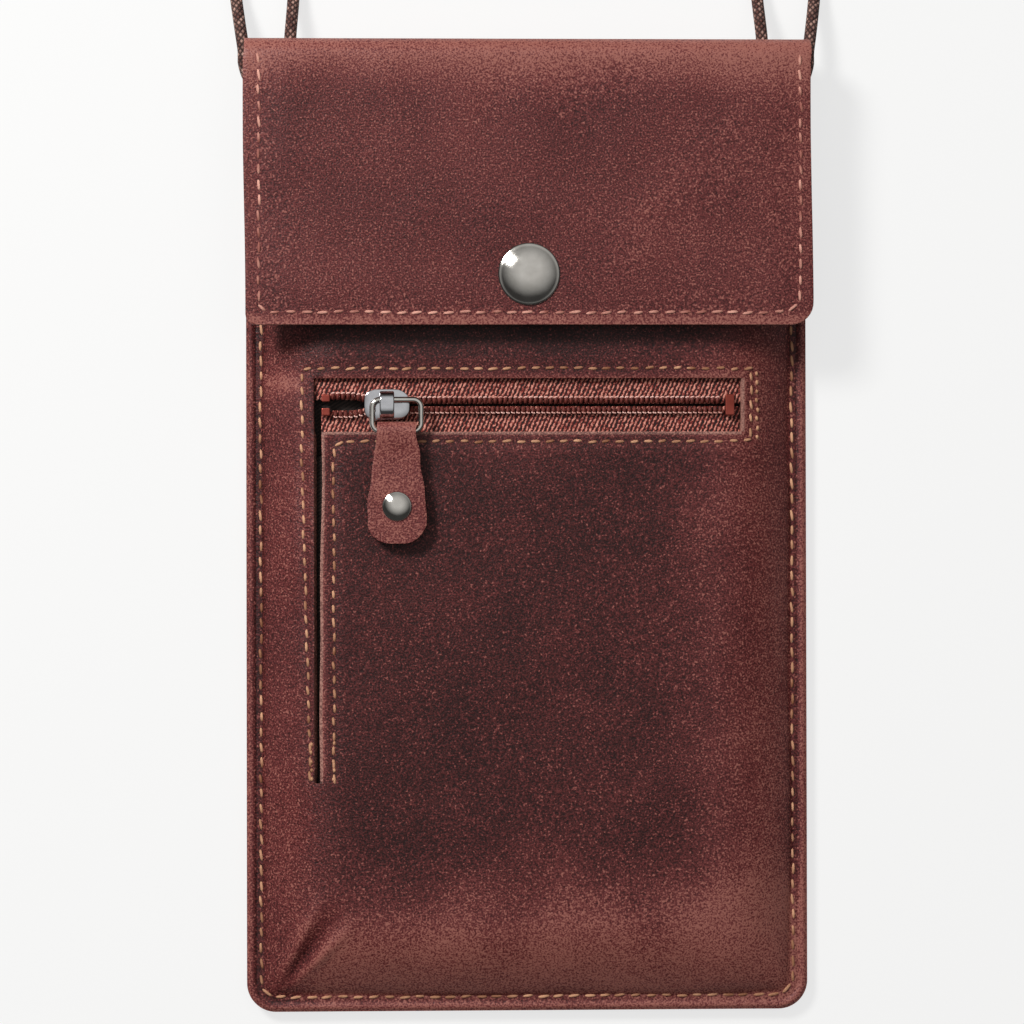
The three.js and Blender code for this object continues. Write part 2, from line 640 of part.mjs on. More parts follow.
// Seam thread as a low bead on the leather, a little in from each sewn edge.
function bead(name, left, low, right, high, radii, bottom) {
  const inner = radii.map((radius) => Math.max(radius - THREAD, 0));
  const top = high + THREAD;
  const ring = roundedRectangle(left, low, right, top, [...radii, 0, 0]);
  const gap = roundedRectangle(
    left + THREAD, low + THREAD, right - THREAD, top + THREAD, [...inner, 0, 0],
  );
  const past = block(
    [left - THREAD, high, bottom - LEATHER], [right + THREAD, top + THREAD, bottom + LEATHER],
  );
  const body = solid(plate(ring, bottom, bottom + THREAD_RISE))
    .subtract(solid(plate(gap, bottom - LEATHER, bottom + LEATHER)))
    .subtract(solid(past));
  add(name, body, thread);
}

function stitching() {
  const half = WIDTH / 2 - STITCH_INSET;
  const rise = LAYER_GAP / 2;
  const radius = CORNER_RADIUS - STITCH_INSET;
  const flapRadii = [0, FLAP_RIGHT_CORNER - STITCH_INSET];
  bead(
    "seam_thread", -half, -TOP_Y + STITCH_INSET, half, MOUTH_Y, [radius, radius], FLANGE_TOP + rise,
  );
  bead(
    "flap_thread", -half, FLAP_EDGE_Y + STITCH_INSET, half, FLAP_ROOT_Y, flapRadii, FLAP_TOP + rise,
  );
}

// Coil of the stowed cord: it winds inwards on the lower layer, climbs in the half turn where the spiral
// reverses and winds outwards on the upper layer, so that both ends leave at the far side.
function coilPath(stepsPerTurn) {
  const points = [new THREE.Vector3(-CORD_DIAMETER, COIL_ENTRY_Y, COIL_LOWER_Z)];
  const steps = 2 * COIL_TURNS * stepsPerTurn;
  for (let i = 0; i <= steps; i++) {
    const turns = i / stepsPerTurn;
    const fromReversal = turns - COIL_TURNS;
    const radius = COIL_INNER_RADIUS + Math.abs(fromReversal) * COIL_PITCH;
    const climb = THREE.MathUtils.smoothstep(fromReversal, -0.25, 0.25);
    const angle = Math.PI / 2 - turns * Math.PI * 2;
    points.push(
      new THREE.Vector3(
        radius * Math.cos(angle),
        COIL_CENTRE_Y + radius * Math.sin(angle),
        COIL_LOWER_Z + climb * COIL_PITCH,
      ),
    );
  }
  points.push(new THREE.Vector3(CORD_DIAMETER, COIL_ENTRY_Y, COIL_UPPER_Z));
  return points;
}

// An open tube with rings of points square to its path and flat ends.
function woundTube(points, radius, sides) {
  const vertices = [];
  const faces = [];
  const last = points.length - 1;
  points.forEach((point, i) => {
    const along = points[Math.min(i + 1, last)].clone().sub(points[Math.max(i - 1, 0)]).normalize();
    const across = new THREE.Vector3(0, 0, 1).cross(along).normalize();
    const up = along.clone().cross(across);
    for (let j = 0; j < sides; j++) {
      const angle = (j / sides) * Math.PI * 2;
      const spot = point
        .clone()
        .addScaledVector(across, Math.cos(angle) * radius)
        .addScaledVector(up, Math.sin(angle) * radius);
      vertices.push(spot.x, spot.y, spot.z);
      if (i === last) continue;
      const beside = (j + 1) % sides;
      const here = i * sides;
      const next = here + sides;
      faces.push(here + j, here + beside, next + j);
      faces.push(next + j, here + beside, next + beside);
    }
  });
  for (let j = 1; j < sides - 1; j++) {
    faces.push(0, j + 1, j);
    faces.push(last * sides, last * sides + j, last * sides + j + 1);
  }
  const tube = new THREE.BufferGeometry();
  tube.setAttribute("position", new THREE.Float32BufferAttribute(vertices, 3));
  tube.setIndex(faces);
  return tube;
}

// Least distance between stretches of the path that aren't neighbours, less the cord's own thickness.
function leastGap(points) {
  const apart = Math.ceil((3 * CORD_DIAMETER) / points[1].distanceTo(points[2]));
  let least = Infinity;
  points.forEach((point, i) => {
    for (let j = i + apart; j < points.length; j++) {
      least = Math.min(least, point.distanceTo(points[j]));
    }
  });
  return least - CORD_DIAMETER;
}

// A strap round all the turns at the near side of the coil.
function coilTie() {
  const farTurn = COIL_RADIUS - COIL_PITCH / 2 + CORD_DIAMETER / 2 + CLEARANCE;
  const nearest = COIL_INNER_RADIUS + COIL_PITCH / 2;
  const nearTurn = Math.sqrt(nearest ** 2 - (TIE_WIDTH / 2) ** 2) - CORD_DIAMETER / 2 - CLEARANCE;
  const low = TIE_THICKNESS + LAYER_GAP / 2;
  const high = COIL_UPPER_Z + CORD_DIAMETER / 2 + CLEARANCE;
  const wall = TIE_THICKNESS;
  const around = (grow, half) =>
    solid(
      block(
        [-half, COIL_CENTRE_Y - farTurn - grow, low - grow],
        [half, COIL_CENTRE_Y - nearTurn + grow, high + grow],
      ),
    );
  return around(wall, TIE_WIDTH / 2).subtract(around(0, TIE_WIDTH));
}

function knot(side) {
  const [x, y, z] = KNOT_SIZE;
  const ball = new THREE.SphereGeometry(1, 14, 10).scale(x, y, z);
  const trim = block([-2 * x, -KNOT_HALF_LENGTH, -2 * z], [2 * x, KNOT_HALF_LENGTH, 2 * z]);
  const body = solid(ball).intersect(solid(trim));
  return geometryOf(body).translate(side * KNOT_X, KNOT_Y, KNOT_Z);
}

// The cord's loop through a corner: from the knot down the outside, round inside the fold,
// out of the hole in the fold and back up to the knot. Its points are measured from the pouch's top corner.
function cornerLoop(side) {
  const knotLow = KNOT_Y - KNOT_HALF_LENGTH - CLEARANCE;
  const straight = knotLow - CORD_DIAMETER;
  const outside = [
    [0.4, 27, 2.7], [1.8, 21, 1.6], [2.3, 15, 1.5], [2, 10, 2.5], [1.4, 5.5, 4.2], [0.8, 1.5, 5.5],
  ];
  const inside = [
    [0.3, -2, 6], [0.2, -4.8, 6], [-1.2, -8.15, 6], [-4.55, -9.55, 6], [-7.9, -8.15, 6], [-9.3, -4.8, 6],
  ];
  const returning = [
    [-9.3, -1.5, 6], [-9.3, 1, 5.9], [-9.6, 5, 4.7], [-9.9, 9.5, 2.8], [-10.1, 15, 1.5], [-9.6, 21, 1.5],
    [-7.6, 26.6, 2.5],
  ];
  const fromCorner = [...outside, ...inside, ...returning].map(([x, y, z]) => [
    WIDTH / 2 + x, TOP_Y + y, z,
  ]);
  const points = [
    [KNOT_X + STRAND_SPREAD, knotLow, KNOT_Z],
    [KNOT_X + STRAND_SPREAD, straight, KNOT_Z],
    ...fromCorner,
    [KNOT_X - STRAND_SPREAD, straight, KNOT_Z],
    [KNOT_X - STRAND_SPREAD, knotLow, KNOT_Z],
  ];
  return cordTube(points.map(([x, y, z]) => [side * x, y, z]), LOOP_STEPS);
}

// The cord from a knot to the coil: the left lead lies on the surface all the way, and the right one
// climbs to the top layer on its last stretch.
function lead(side) {
  const knotHigh = KNOT_Y + KNOT_HALF_LENGTH + CLEARANCE;
  const coilZ = side < 0 ? COIL_LOWER_Z : COIL_UPPER_Z;
  const beside = side < 0 ? COIL_LOWER_Z : COIL_UPPER_Z - LEAD_DIP;
  const coming = side < 0 ? COIL_LOWER_Z - LEAD_DIP : (COIL_LOWER_Z + COIL_UPPER_Z) / 2;
  const onSurface = [[-1.9, -10.2, 2.4], [-6.5, -5.6, 1.5], [-14.5, -1.8, 1.4], [-24.5, -0.2, 1.5]].map(
    ([x, y, z]) => [KNOT_X + x, COIL_ENTRY_Y + y, z],
  );
  const points = [
    [KNOT_X, knotHigh, KNOT_Z],
    [KNOT_X, knotHigh + CORD_DIAMETER, KNOT_Z],
    ...onSurface,
    [COIL_RADIUS, COIL_ENTRY_Y, coming],
    [COIL_RADIUS / 2, COIL_ENTRY_Y, beside],
    [CORD_DIAMETER + CLEARANCE, COIL_ENTRY_Y, coilZ],
  ];
  return cordTube(points.map(([x, y, z]) => [side * x, y, z]), LEAD_STEPS);
}

function neckCord() {
  for (const [name, side] of [["left", -1], ["right", 1]]) {
    add(`cord_loop_${name}`, cornerLoop(side), cordBraid);
    add(`cord_knot_${name}`, knot(side), cordBraid);
    add(`cord_lead_${name}`, lead(side), cordBraid);
  }
  const path = coilPath(COIL_STEPS);
  add("cord_coil", woundTube(path, CORD_DIAMETER / 2, 6), cordBraid);
  add("cord_tie", coilTie(), brownLeather);
  console.log(`least gap between the coil's turns: ${leastGap(path).toFixed(2)} mm`);
}

add("back_panel", backPanel(), brownLeather);
add("front_panel", frontPanel(), brownLeather);
linings();
zip();
slider();
pull();
stud();
flap();
stitching();
neckCord();

export default neckWallet;
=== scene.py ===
import math
import random

import bmesh
import bpy
from mathutils import Euler, Matrix, Vector, geometry, noise


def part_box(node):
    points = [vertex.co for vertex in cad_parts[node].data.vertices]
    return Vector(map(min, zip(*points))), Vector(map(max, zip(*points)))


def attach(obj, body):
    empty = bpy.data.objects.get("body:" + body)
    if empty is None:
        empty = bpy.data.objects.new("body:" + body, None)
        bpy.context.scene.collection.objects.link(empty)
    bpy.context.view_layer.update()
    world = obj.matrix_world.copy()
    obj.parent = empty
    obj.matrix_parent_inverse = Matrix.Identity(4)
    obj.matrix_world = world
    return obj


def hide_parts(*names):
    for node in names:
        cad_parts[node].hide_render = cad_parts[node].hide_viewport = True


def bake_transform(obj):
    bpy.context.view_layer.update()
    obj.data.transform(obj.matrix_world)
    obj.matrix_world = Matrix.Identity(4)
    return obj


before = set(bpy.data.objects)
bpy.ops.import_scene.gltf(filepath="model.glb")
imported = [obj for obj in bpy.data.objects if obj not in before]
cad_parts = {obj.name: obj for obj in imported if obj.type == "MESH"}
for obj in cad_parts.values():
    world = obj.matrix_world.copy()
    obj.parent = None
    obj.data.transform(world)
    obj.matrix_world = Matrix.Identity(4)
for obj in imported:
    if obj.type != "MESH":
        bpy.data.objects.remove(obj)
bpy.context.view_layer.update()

# Camera, floor and light. The wallet is seen from almost straight above, a little from its left.
# The floor is plain white board, lit by one large soft lamp at the upper left and by a pale ceiling.
MM = 0.001
VIEW_DISTANCE = 800
VIEW_CENTRE = Vector((-3.0, 3.1, 0))
VIEW_TILT = (0.46, -2.17, -0.12)
scene = bpy.context.scene
scene.view_settings.view_transform = "Standard"
camera = bpy.data.objects.new("camera", bpy.data.cameras.new("camera"))
camera.data.lens = 135.4
camera.data.sensor_width = 36
camera.rotation_euler = Euler([math.radians(angle) for angle in VIEW_TILT])
toward_eye = camera.rotation_euler.to_matrix() @ Vector((0, 0, VIEW_DISTANCE))
camera.location = (VIEW_CENTRE + toward_eye) * MM
scene.collection.objects.link(camera)
scene.camera = camera


def linear(code):
    """An sRGB hex colour as the linear colour that the shaders use."""
    parts = [int(code[i : i + 2], 16) / 255 for i in (1, 3, 5)]
    return (*[c / 12.92 if c <= 0.04045 else ((c + 0.055) / 1.055) ** 2.4 for c in parts], 1)


def feed(material, node, inputs):
    """Sets each input of a node to a value, or links it to the socket given."""
    for key, value in inputs.items():
        if isinstance(value, bpy.types.NodeSocket):
            material.node_tree.links.new(value, node.inputs[key])
        else:
            node.inputs[key].default_value = value


def add_node(material, kind, inputs, **settings):
    """Adds one node with its own settings, its values and its links."""
    node = material.node_tree.nodes.new(kind)
    for key, value in settings.items():
        setattr(node, key, value)
    feed(material, node, inputs)
    return node


def math_node(material, operation, *values):
    """The result of one sum on values or sockets."""
    return add_node(material, "ShaderNodeMath", dict(enumerate(values)), operation=operation).outputs[0]


def map_range(material, value, start, end):
    """A value moved from one range into another and held between its ends."""
    inputs = dict(zip(("Value", "From Min", "From Max", "To Min", "To Max"), (value, *start, *end)))
    return add_node(material, "ShaderNodeMapRange", inputs).outputs[0]


def new_material(name):
    material = bpy.data.materials.new(name)
    material.use_nodes = True
    return material, material.node_tree.nodes["Principled BSDF"]


def make_piece(name, bm, *materials, crease=math.radians(40)):
    """Turns a bmesh in millimetres into an object in metres at the origin, shaded smooth."""
    bmesh.ops.scale(bm, vec=(MM, MM, MM), verts=bm.verts)
    mesh = bpy.data.meshes.new(name)
    bm.to_mesh(mesh)
    bm.free()
    for material in materials:
        mesh.materials.append(material)
    mesh.shade_smooth()
    mesh.set_sharp_from_angle(angle=crease)
    piece = bpy.data.objects.new(name, mesh)
    scene.collection.objects.link(piece)
    return piece


# White board: the camera and mirror-like surfaces see it as white, and it still takes the shadow.
FLOOR_SIZE = 3000
FLOOR_Z = -0.15
board, shader = new_material("white_board")
feed(board, shader, {"Base Color": linear("#e6e5e2"), "Roughness": 0.9})
rays = add_node(board, "ShaderNodeLightPath", {})
seen = math_node(board, "MAXIMUM", rays.outputs["Is Camera Ray"], rays.outputs["Is Glossy Ray"])
share = math_node(board, "MULTIPLY", seen, 0.72)
glow = add_node(board, "ShaderNodeEmission", {"Color": (1, 1, 1, 1), "Strength": 1.0})
both = add_node(board, "ShaderNodeMixShader", {0: share, 1: shader.outputs[0], 2: glow.outputs[0]})
feed(board, board.node_tree.nodes["Material Output"], {"Surface": both.outputs[0]})
bm = bmesh.new()
bmesh.ops.create_grid(bm, x_segments=1, y_segments=1, size=FLOOR_SIZE)
bmesh.ops.translate(bm, vec=(0, 0, FLOOR_Z), verts=bm.verts)
floor = make_piece("floor", bm, board)

# Room: dim walls and a pale ceiling, whose middle leans a little towards the wallet's top.
CEILING_WAY = (0.06, 0.24, 0.97)
world = bpy.data.worlds.new("pale_room")
world.use_nodes = True
scene.world = world
way = add_node(world, "ShaderNodeTexCoord", {}).outputs["Generated"]
upward = add_node(world, "ShaderNodeVectorMath", {0: way, 1: CEILING_WAY}, operation="DOT_PRODUCT")
ceiling = map_range(world, upward.outputs["Value"], (0.58, 0.93), (0.05, 0.7))
feed(world, world.node_tree.nodes["Background"], {"Color": (1, 1, 1, 1), "Strength": ceiling})

LAMP_PLACE = Vector((-0.50, 0.52, 0.66))
lamp = bpy.data.objects.new("soft_lamp", bpy.data.lights.new("soft_lamp", "AREA"))
lamp.data.energy = 8.6
lamp.data.size = 0.24
lamp.location = LAMP_PLACE
lamp.rotation_euler = LAMP_PLACE.to_track_quat("Z", "Y").to_euler()
scene.collection.objects.link(lamp)

# Neck cord: a round braid of dark brown polyester, 2.5 mm thick. At each top corner it runs through the
# leather's fold and back to a knot; the rest is wound in a flat coil of two layers past the top edge.
CORD_DIAMETER = 2.5
BRAID_STRANDS = 6
BRAID_PITCH = 1.3


def colour_ramp(material, share, *stops):
    """A colour that runs through stops as the share rises; each stop is a place and a hex colour."""
    ramp = add_node(material, "ShaderNodeValToRGB", {"Fac": share})
    marks = ramp.color_ramp.elements
    for mark, (place, colour) in zip(marks, (stops[0], stops[-1])):
        mark.position = place
        mark.color = linear(colour)
    for place, colour in stops[1:-1]:
        marks.new(place).color = linear(colour)
    return ramp.outputs[0]


def mix_colours(material, share, low, high):
    """A colour that runs from low to high as the share rises."""
    return add_node(material, "ShaderNodeMix", {0: share, 6: low, 7: high}, data_type="RGBA").outputs[2]


def bump_node(material, height, strength, distance):
    """A normal that makes a surface seem raised by the height times a distance in millimetres."""
    inputs = {"Height": height, "Strength": strength, "Distance": distance * MM}
    return add_node(material, "ShaderNodeBump", inputs).outputs[0]


# Braided polyester: two sets of strands crossing, some with a paler fleck, dull and a little fuzzy. The
# dark colour in the gaps between strands is painted shade.
braid, shader = new_material("braided_polyester")
laid = add_node(braid, "ShaderNodeUVMap", {}, uv_map="UVMap")
apart = add_node(braid, "ShaderNodeSeparateXYZ", {0: laid.outputs[0]})
strands, cells = [], []
for operation in ("ADD", "SUBTRACT"):
    slant = math_node(braid, operation, apart.outputs[0], apart.outputs[1])
    cells.append(math_node(braid, "FLOOR", slant))
    wave = math_node(braid, "SINE", math_node(braid, "MULTIPLY", slant, math.pi))
    strands.append(math_node(braid, "ABSOLUTE", wave))
rise = math_node(braid, "MULTIPLY", *strands)
cell = add_node(braid, "ShaderNodeCombineXYZ", dict(enumerate(cells)))
chance = add_node(braid, "ShaderNodeTexWhiteNoise", {"Vector": cell.outputs[0]})
fleck = colour_ramp(braid, chance.outputs["Value"], (0.3, "#6a4138"), (1, "#cba090"))
# Near-black where the strands dip apart: painted shade in the gaps.
strands_with_painted_gap_shade = mix_colours(braid, rise, linear("#260f0d"), fleck)
ridge = bump_node(braid, rise, 0.9, 0.4)
feed(braid, shader, {"Base Color": strands_with_painted_gap_shade, "Normal": ridge, "Roughness": 0.8})


def ease(low, high, value):
    """0 at low and before it, 1 at high and past it, and smooth between them."""
    share = min(1, max(0, (value - low) / (high - low)))
    return share * share * (3 - 2 * share)


def path_length(points):
    return sum((b - a).length for a, b in zip(points, points[1:]))


def smooth_path(points, spacing):
    """Points at an even spacing on a smooth line through the given ones."""
    spots = [Vector(p) for p in points]
    line = []
    for before, here, there, after in zip(spots[:1] + spots, spots, spots[1:], spots[2:] + spots[-1:]):
        leave, arrive = here + (there - before) / 6, there - (after - here) / 6
        line += geometry.interpolate_bezier(here, leave, arrive, there, 13)[:-1]
    line.append(spots[-1])
    total = path_length(line)
    step = total / max(2, round(total / spacing))
    even, walked, due = [line[0]], 0, step
    for a, b in zip(line, line[1:]):
        length = (b - a).length
        while length and walked + length >= due - 1e-6:
            even.append(a.lerp(b, min(1, (due - walked) / length)))
            due += step
        walked += length
    return even


def wire(name, points, radius, material, closed=False, strands_round=1, strand_pitch=1, sides=3):
    """A round wire or cord along points. Its UV map counts strands round it and pitches along it."""
    line = bpy.data.curves.new(name, "CURVE")
    line.dimensions = "3D"
    line.bevel_depth = radius
    line.bevel_resolution = sides
    line.use_fill_caps = not closed
    run = line.splines.new("POLY")
    run.points.add(len(points) - 1)
    run.use_cyclic_u = closed
    for spot, point in zip(run.points, points):
        spot.co = (*point, 1)
    bent = bpy.data.objects.new(name, line)
    scene.collection.objects.link(bent)
    mesh = bpy.data.meshes.new_from_object(bent.evaluated_get(bpy.context.evaluated_depsgraph_get()))
    bpy.data.objects.remove(bent)
    pitches = path_length(points) / strand_pitch
    for corner in mesh.uv_layers[0].data:
        corner.uv = (corner.uv[1] * strands_round, corner.uv[0] * pitches)
    bm = bmesh.new()
    bm.from_mesh(mesh)
    bpy.data.meshes.remove(mesh)
    bmesh.ops.recalc_face_normals(bm, faces=bm.faces)
    return make_piece(name, bm, material, crease=math.radians(60))


def braided_cord(name, route):
    return wire(
        name, route, CORD_DIAMETER / 2, braid, strands_round=BRAID_STRANDS, strand_pitch=BRAID_PITCH
    )


# A corner loop leaves its knot, runs round the fold's end and comes back through the punched hole.
CORNER_LOOP = [
    (57.1, 134.1, 4), (57.1, 131.6, 4), (58.4, 127, 2.7), (59.8, 121, 1.6), (60.3, 115, 1.5),
    (60.0, 110, 2.5), (59.4, 105.5, 4.2), (58.8, 101.5, 5.5), (58.3, 98, 6), (58.2, 95.2, 6),
    (56.8, 91.85, 6), (53.45, 90.45, 6), (50.1, 91.85, 6), (48.7, 95.2, 6), (48.7, 98.5, 6),
    (48.7, 101, 5.9), (48.4, 105, 4.7), (48.1, 109.5, 2.8), (47.9, 115, 1.5), (48.4, 121, 1.5),
    (50.4, 126.6, 2.5), (53.9, 131.6, 4), (53.9, 134.1, 4),
]
# Each knot is two and a half wraps of the same cord drawn up tight round the strands.
KNOT_PLACE = Vector((55.5, 139, 4))
WRAP_RADII = (3.75, 2.5)
WRAP_PITCH = 2.55
WRAP_STEPS = 16
WRAPS = 2.6
loops, knots = [], []
for side, word in ((-1, "left"), (1, "right")):
    route = smooth_path([(side * x, y, z) for x, y, z in CORNER_LOOP], 0.9)
    loop = braided_cord(f"corner_loop_{word}", route)
    turns = []
    for i in range(int(WRAPS * WRAP_STEPS) + 1):
        turn = i / WRAP_STEPS
        x, z = WRAP_RADII[0] * math.cos(turn * math.tau), WRAP_RADII[1] * math.sin(turn * math.tau)
        turns.append(KNOT_PLACE + Vector((x, (turn - WRAPS / 2) * WRAP_PITCH, z)))
    wraps = smooth_path([(side * p.x, p.y, p.z) for p in turns], 0.7)
    knot = braided_cord(f"barrel_knot_{word}", wraps)
    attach(loop, "pouch")
    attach(knot, "pouch")
    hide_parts(f"cord_loop_{word}")
    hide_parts(f"cord_knot_{word}")
    loops.append(loop)
    knots.append(knot)

COIL_CENTRE_Y = 140
COIL_RADIUS = 21
COIL_INNER_RADIUS = 9
COIL_TURNS = 4
COIL_PITCH = 3
COIL_STEPS = 24
COIL_LOWER_Z = 2.15
COIL_UPPER_Z = 5.15
COIL_ENTRY_Y = COIL_CENTRE_Y + COIL_RADIUS


def lead_points(side):
    """The cord from a knot to the coil: into its lower layer at the left, its upper one at the right."""
    inner = COIL_LOWER_Z if side < 0 else COIL_UPPER_Z
    beside = inner if side < 0 else inner - 0.5
    coming = inner - 0.5 if side < 0 else inner - 1.5
    spots = [
        (55.5, 143.9, 4), (55.5, 146.4, 4), (53.6, 150.8, 2.4), (49, 155.4, 1.5), (41, 159.2, 1.4),
        (31, 160.8, 1.5), (21, COIL_ENTRY_Y, coming), (10.5, COIL_ENTRY_Y, beside),
        (2.8, COIL_ENTRY_Y, inner),
    ]
    return [(side * x, y, z) for x, y, z in spots]


coil = []
for i in range(2 * COIL_TURNS * COIL_STEPS + 1):
    past_middle = i / COIL_STEPS - COIL_TURNS
    reach = COIL_INNER_RADIUS + abs(past_middle) * COIL_PITCH
    climb = ease(-0.25, 0.25, past_middle)
    angle = math.pi / 2 - i / COIL_STEPS * math.tau
    coil.append((
        reach * math.cos(angle),
        COIL_CENTRE_Y + reach * math.sin(angle),
        COIL_LOWER_Z + climb * (COIL_UPPER_Z - COIL_LOWER_Z),
    ))
neck_route = smooth_path(lead_points(-1) + coil + lead_points(1)[::-1], 1.1)
neck_cord = braided_cord("neck_cord", neck_route)
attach(neck_cord, "pouch")
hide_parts("cord_lead_left", "cord_lead_right", "cord_coil")

# Coil tie: a narrow strap of the same leather round all the turns, its end glued down on top.
# Waxed leather: dark in the unworn middle, paler where hands and edges rub, with a fine pebbled grain.
# On the front the same attribute also carries painted shade and painted highlights.
GRAIN_SIZE = 1.0
FLECK_SIZE = 0.36
# Size of the sparse pale dots, which are painted glints.
GLINT_SIZE = 0.42
MOTTLE_SIZE = 20


def object_place(material):
    return add_node(material, "ShaderNodeTexCoord", {}).outputs["Object"]


def noise_node(material, place, scale, detail):
    inputs = {"Vector": place, "Scale": scale, "Detail": detail}
    return add_node(material, "ShaderNodeTexNoise", inputs).outputs[0]


def waxed_leather(name, colours, roughness, relief):
    """Leather whose colour runs through the given stops as the piece's attribute rises; that attribute
    holds both rubbing and painted shade and highlights.
    """
    material, shader = new_material(name)
    place = object_place(material)
    mottle = noise_node(material, place, 1 / (MOTTLE_SIZE * MM), 4)
    fine = noise_node(material, place, 1 / (FLECK_SIZE * MM), 1.5)
    glint_noise = noise_node(material, place, 1 / (GLINT_SIZE * MM), 0)
    cells = {"Vector": place, "Scale": 1 / (GRAIN_SIZE * MM)}
    grain = add_node(material, "ShaderNodeTexVoronoi", cells, feature="SMOOTH_F1")
    wear_and_shading = add_node(material, "ShaderNodeAttribute", {}, attribute_name="wear_and_shading")
    patchy = math_node(material, "MULTIPLY_ADD", mottle, 0.42, -0.21)
    # The fine speckle is partly the grain's own colour and partly painted glints; the sparse pale dots
    # are painted glints.
    grain_speckle_and_glints = math_node(material, "MULTIPLY_ADD", fine, 1.7, -0.89)
    painted_glints = map_range(material, glint_noise, (0.6, 0.8), (0.0, 0.52))
    uneven = math_node(material, "ADD", patchy, math_node(material, "ADD", painted_glints, grain_speckle_and_glints))
    # This sum holds the rubbing together with painted shade and painted highlights.
    worn = math_node(material, "ADD", wear_and_shading.outputs["Fac"], uneven)
    height = math_node(material, "MULTIPLY_ADD", grain.outputs["Distance"], 0.4, fine)
    stops = [(i / (len(colours) - 1), colour) for i, colour in enumerate(colours)]
    looks = {
        "Base Color": colour_ramp(material, worn, *stops),
        "Roughness": map_range(material, mottle, (0.3, 0.7), roughness),
        "Normal": bump_node(material, height, relief, 0.22),
        "Specular IOR Level": 0.25,
    }
    feed(material, shader, looks)
    return material


brown_leather = waxed_leather(
    "waxed_cowhide", ["#240b0b", "#481c1b", "#6c302f", "#9b6055"], (0.56, 0.42), 0.5
)
# Cut edge: the same hide rubbed smooth and waxed, paler and greyer than its face.
cut_edge = waxed_leather(
    "burnished_edge", ["#3b2421", "#5f3f39", "#80564d", "#ab7b6e"], (0.6, 0.5), 0.35
)


def lengths_along(path):
    """How far along a path each of its points lies."""
    lengths = [0]
    for a, b in zip(path, path[1:]):
        lengths.append(lengths[-1] + (b - a).length)
    return lengths


def along(path, lengths, distance):
    """The point at a distance along a path whose lengths up to each point are given."""
    for i in range(1, len(path)):
        if lengths[i] >= distance or i == len(path) - 1:
            share = (distance - lengths[i - 1]) / max(1e-9, lengths[i] - lengths[i - 1])
            return path[i - 1].lerp(path[i], min(1, share))


def sweep_sheet(path, rows, columns, across, reach, crowd=1):
    """A grid bent along a path, with a row at each distance in rows that goes out to reach(distance).
    Columns crowd towards both sides where crowd is above 1."""
    lengths = lengths_along(path)
    middles = [along(path, lengths, s) for s in rows]
    reaches = [reach(s) for s in rows]
    bm = bmesh.new()
    bmesh.ops.create_grid(bm, x_segments=columns, y_segments=len(rows) - 1, size=1)
    for vert in bm.verts:
        row = round((vert.co.y + 1) / 2 * (len(rows) - 1))
        low, high = reaches[row]
        spread = math.copysign(1 - (1 - min(1, abs(vert.co.x))) ** crowd, vert.co.x)
        vert.co = middles[row] + across * (low + (high - low) * (spread + 1) / 2)
    return bm


def even_rows(length, spacing):
    count = max(1, round(length / spacing))
    return [length * i / count for i in range(count + 1)]


def mark_wear_and_shading(bm, amount):
    """Gives each vertex a value from 0 to 1: how worn the leather is there, plus the painted shade and
    highlights that some pieces carry.
    """
    wear_and_shading = bm.verts.layers.float.new("wear_and_shading")
    for vert in bm.verts:
        vert[wear_and_shading] = amount(vert.co)


def thicken(piece, thickness, offset=0, edge=None, rounding=0.0):
    """Gives a sheet its thickness, its cut edge a material of its own, and rounds that edge."""
    wall = piece.modifiers.new("thickness", "SOLIDIFY")
    wall.thickness = thickness * MM
    wall.offset = offset
    wall.use_even_offset = True
    if edge is not None:
        wall.material_offset_rim = edge
    if rounding:
        soft = piece.modifiers.new("rounded_edge", "BEVEL")
        soft.width = rounding * MM
        soft.segments = 2
        soft.limit_method = "ANGLE"
        soft.angle_limit = math.radians(50)


TIE_HALF_WIDTH = 3
TIE_THICKNESS = 0.5
side_ways, length_ways = Vector((1, 0, 0)), Vector((0, 1, 0))
low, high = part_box("cord_tie")
inner_y, outer_y = high.y / MM, low.y / MM
bottom, top = low.z / MM, high.z / MM
strap_spots = [
    (inner_y - 5.5, top - 0.25), (inner_y - 1.5, top - 0.25), (inner_y - 0.25, top - 1.5),
    (inner_y - 0.25, bottom + 1.5), (inner_y - 1.5, bottom + 0.25), (outer_y + 1.5, bottom + 0.25),
    (outer_y + 0.25, bottom + 1.5), (outer_y + 0.25, top - 1.5), (outer_y + 1.5, top - 0.25),
    (inner_y - 6.4, top - 0.2), (inner_y - 4.8, top + 0.32), (inner_y - 1.5, top + 0.35),
]
strap = smooth_path([(0, y, z) for y, z in strap_spots], 0.4)
strap_rows = even_rows(path_length(strap), 0.5)
bm = sweep_sheet(strap, strap_rows, 6, side_ways, lambda s: (-TIE_HALF_WIDTH, TIE_HALF_WIDTH))
mark_wear_and_shading(bm, lambda co: 0.45)
coil_tie = make_piece("coil_tie", bm, brown_leather, cut_edge)
thicken(coil_tie, TIE_THICKNESS, edge=1, rounding=0.12)
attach(coil_tie, "pouch")
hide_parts("cord_tie")

# Hide: one piece of waxed leather that is the pouch's back, the fold at the top and the flap.
# It is cut narrower at the fold, where the cord runs round its ends and through two punched holes.
HALF_WIDTH = 58
LEATHER = 1.4
TOP_Y = 100
FLAP_EDGE_Y = 41.2
FLAP_MIDDLE_Z = 14.8
FLAP_CORNERS = (2.2, 4.6)
BACK_MIDDLE_Z = 0.7
BACK_CORNER = 6
FOLD_HALF_WIDTH = 54.5
FOLD_LOW, FOLD_HIGH = 2.3, 3.2
CORD_HOLE_X = 48.7
CORD_HOLE_Z = 6
CORD_HOLE_RADIUS = 1.8


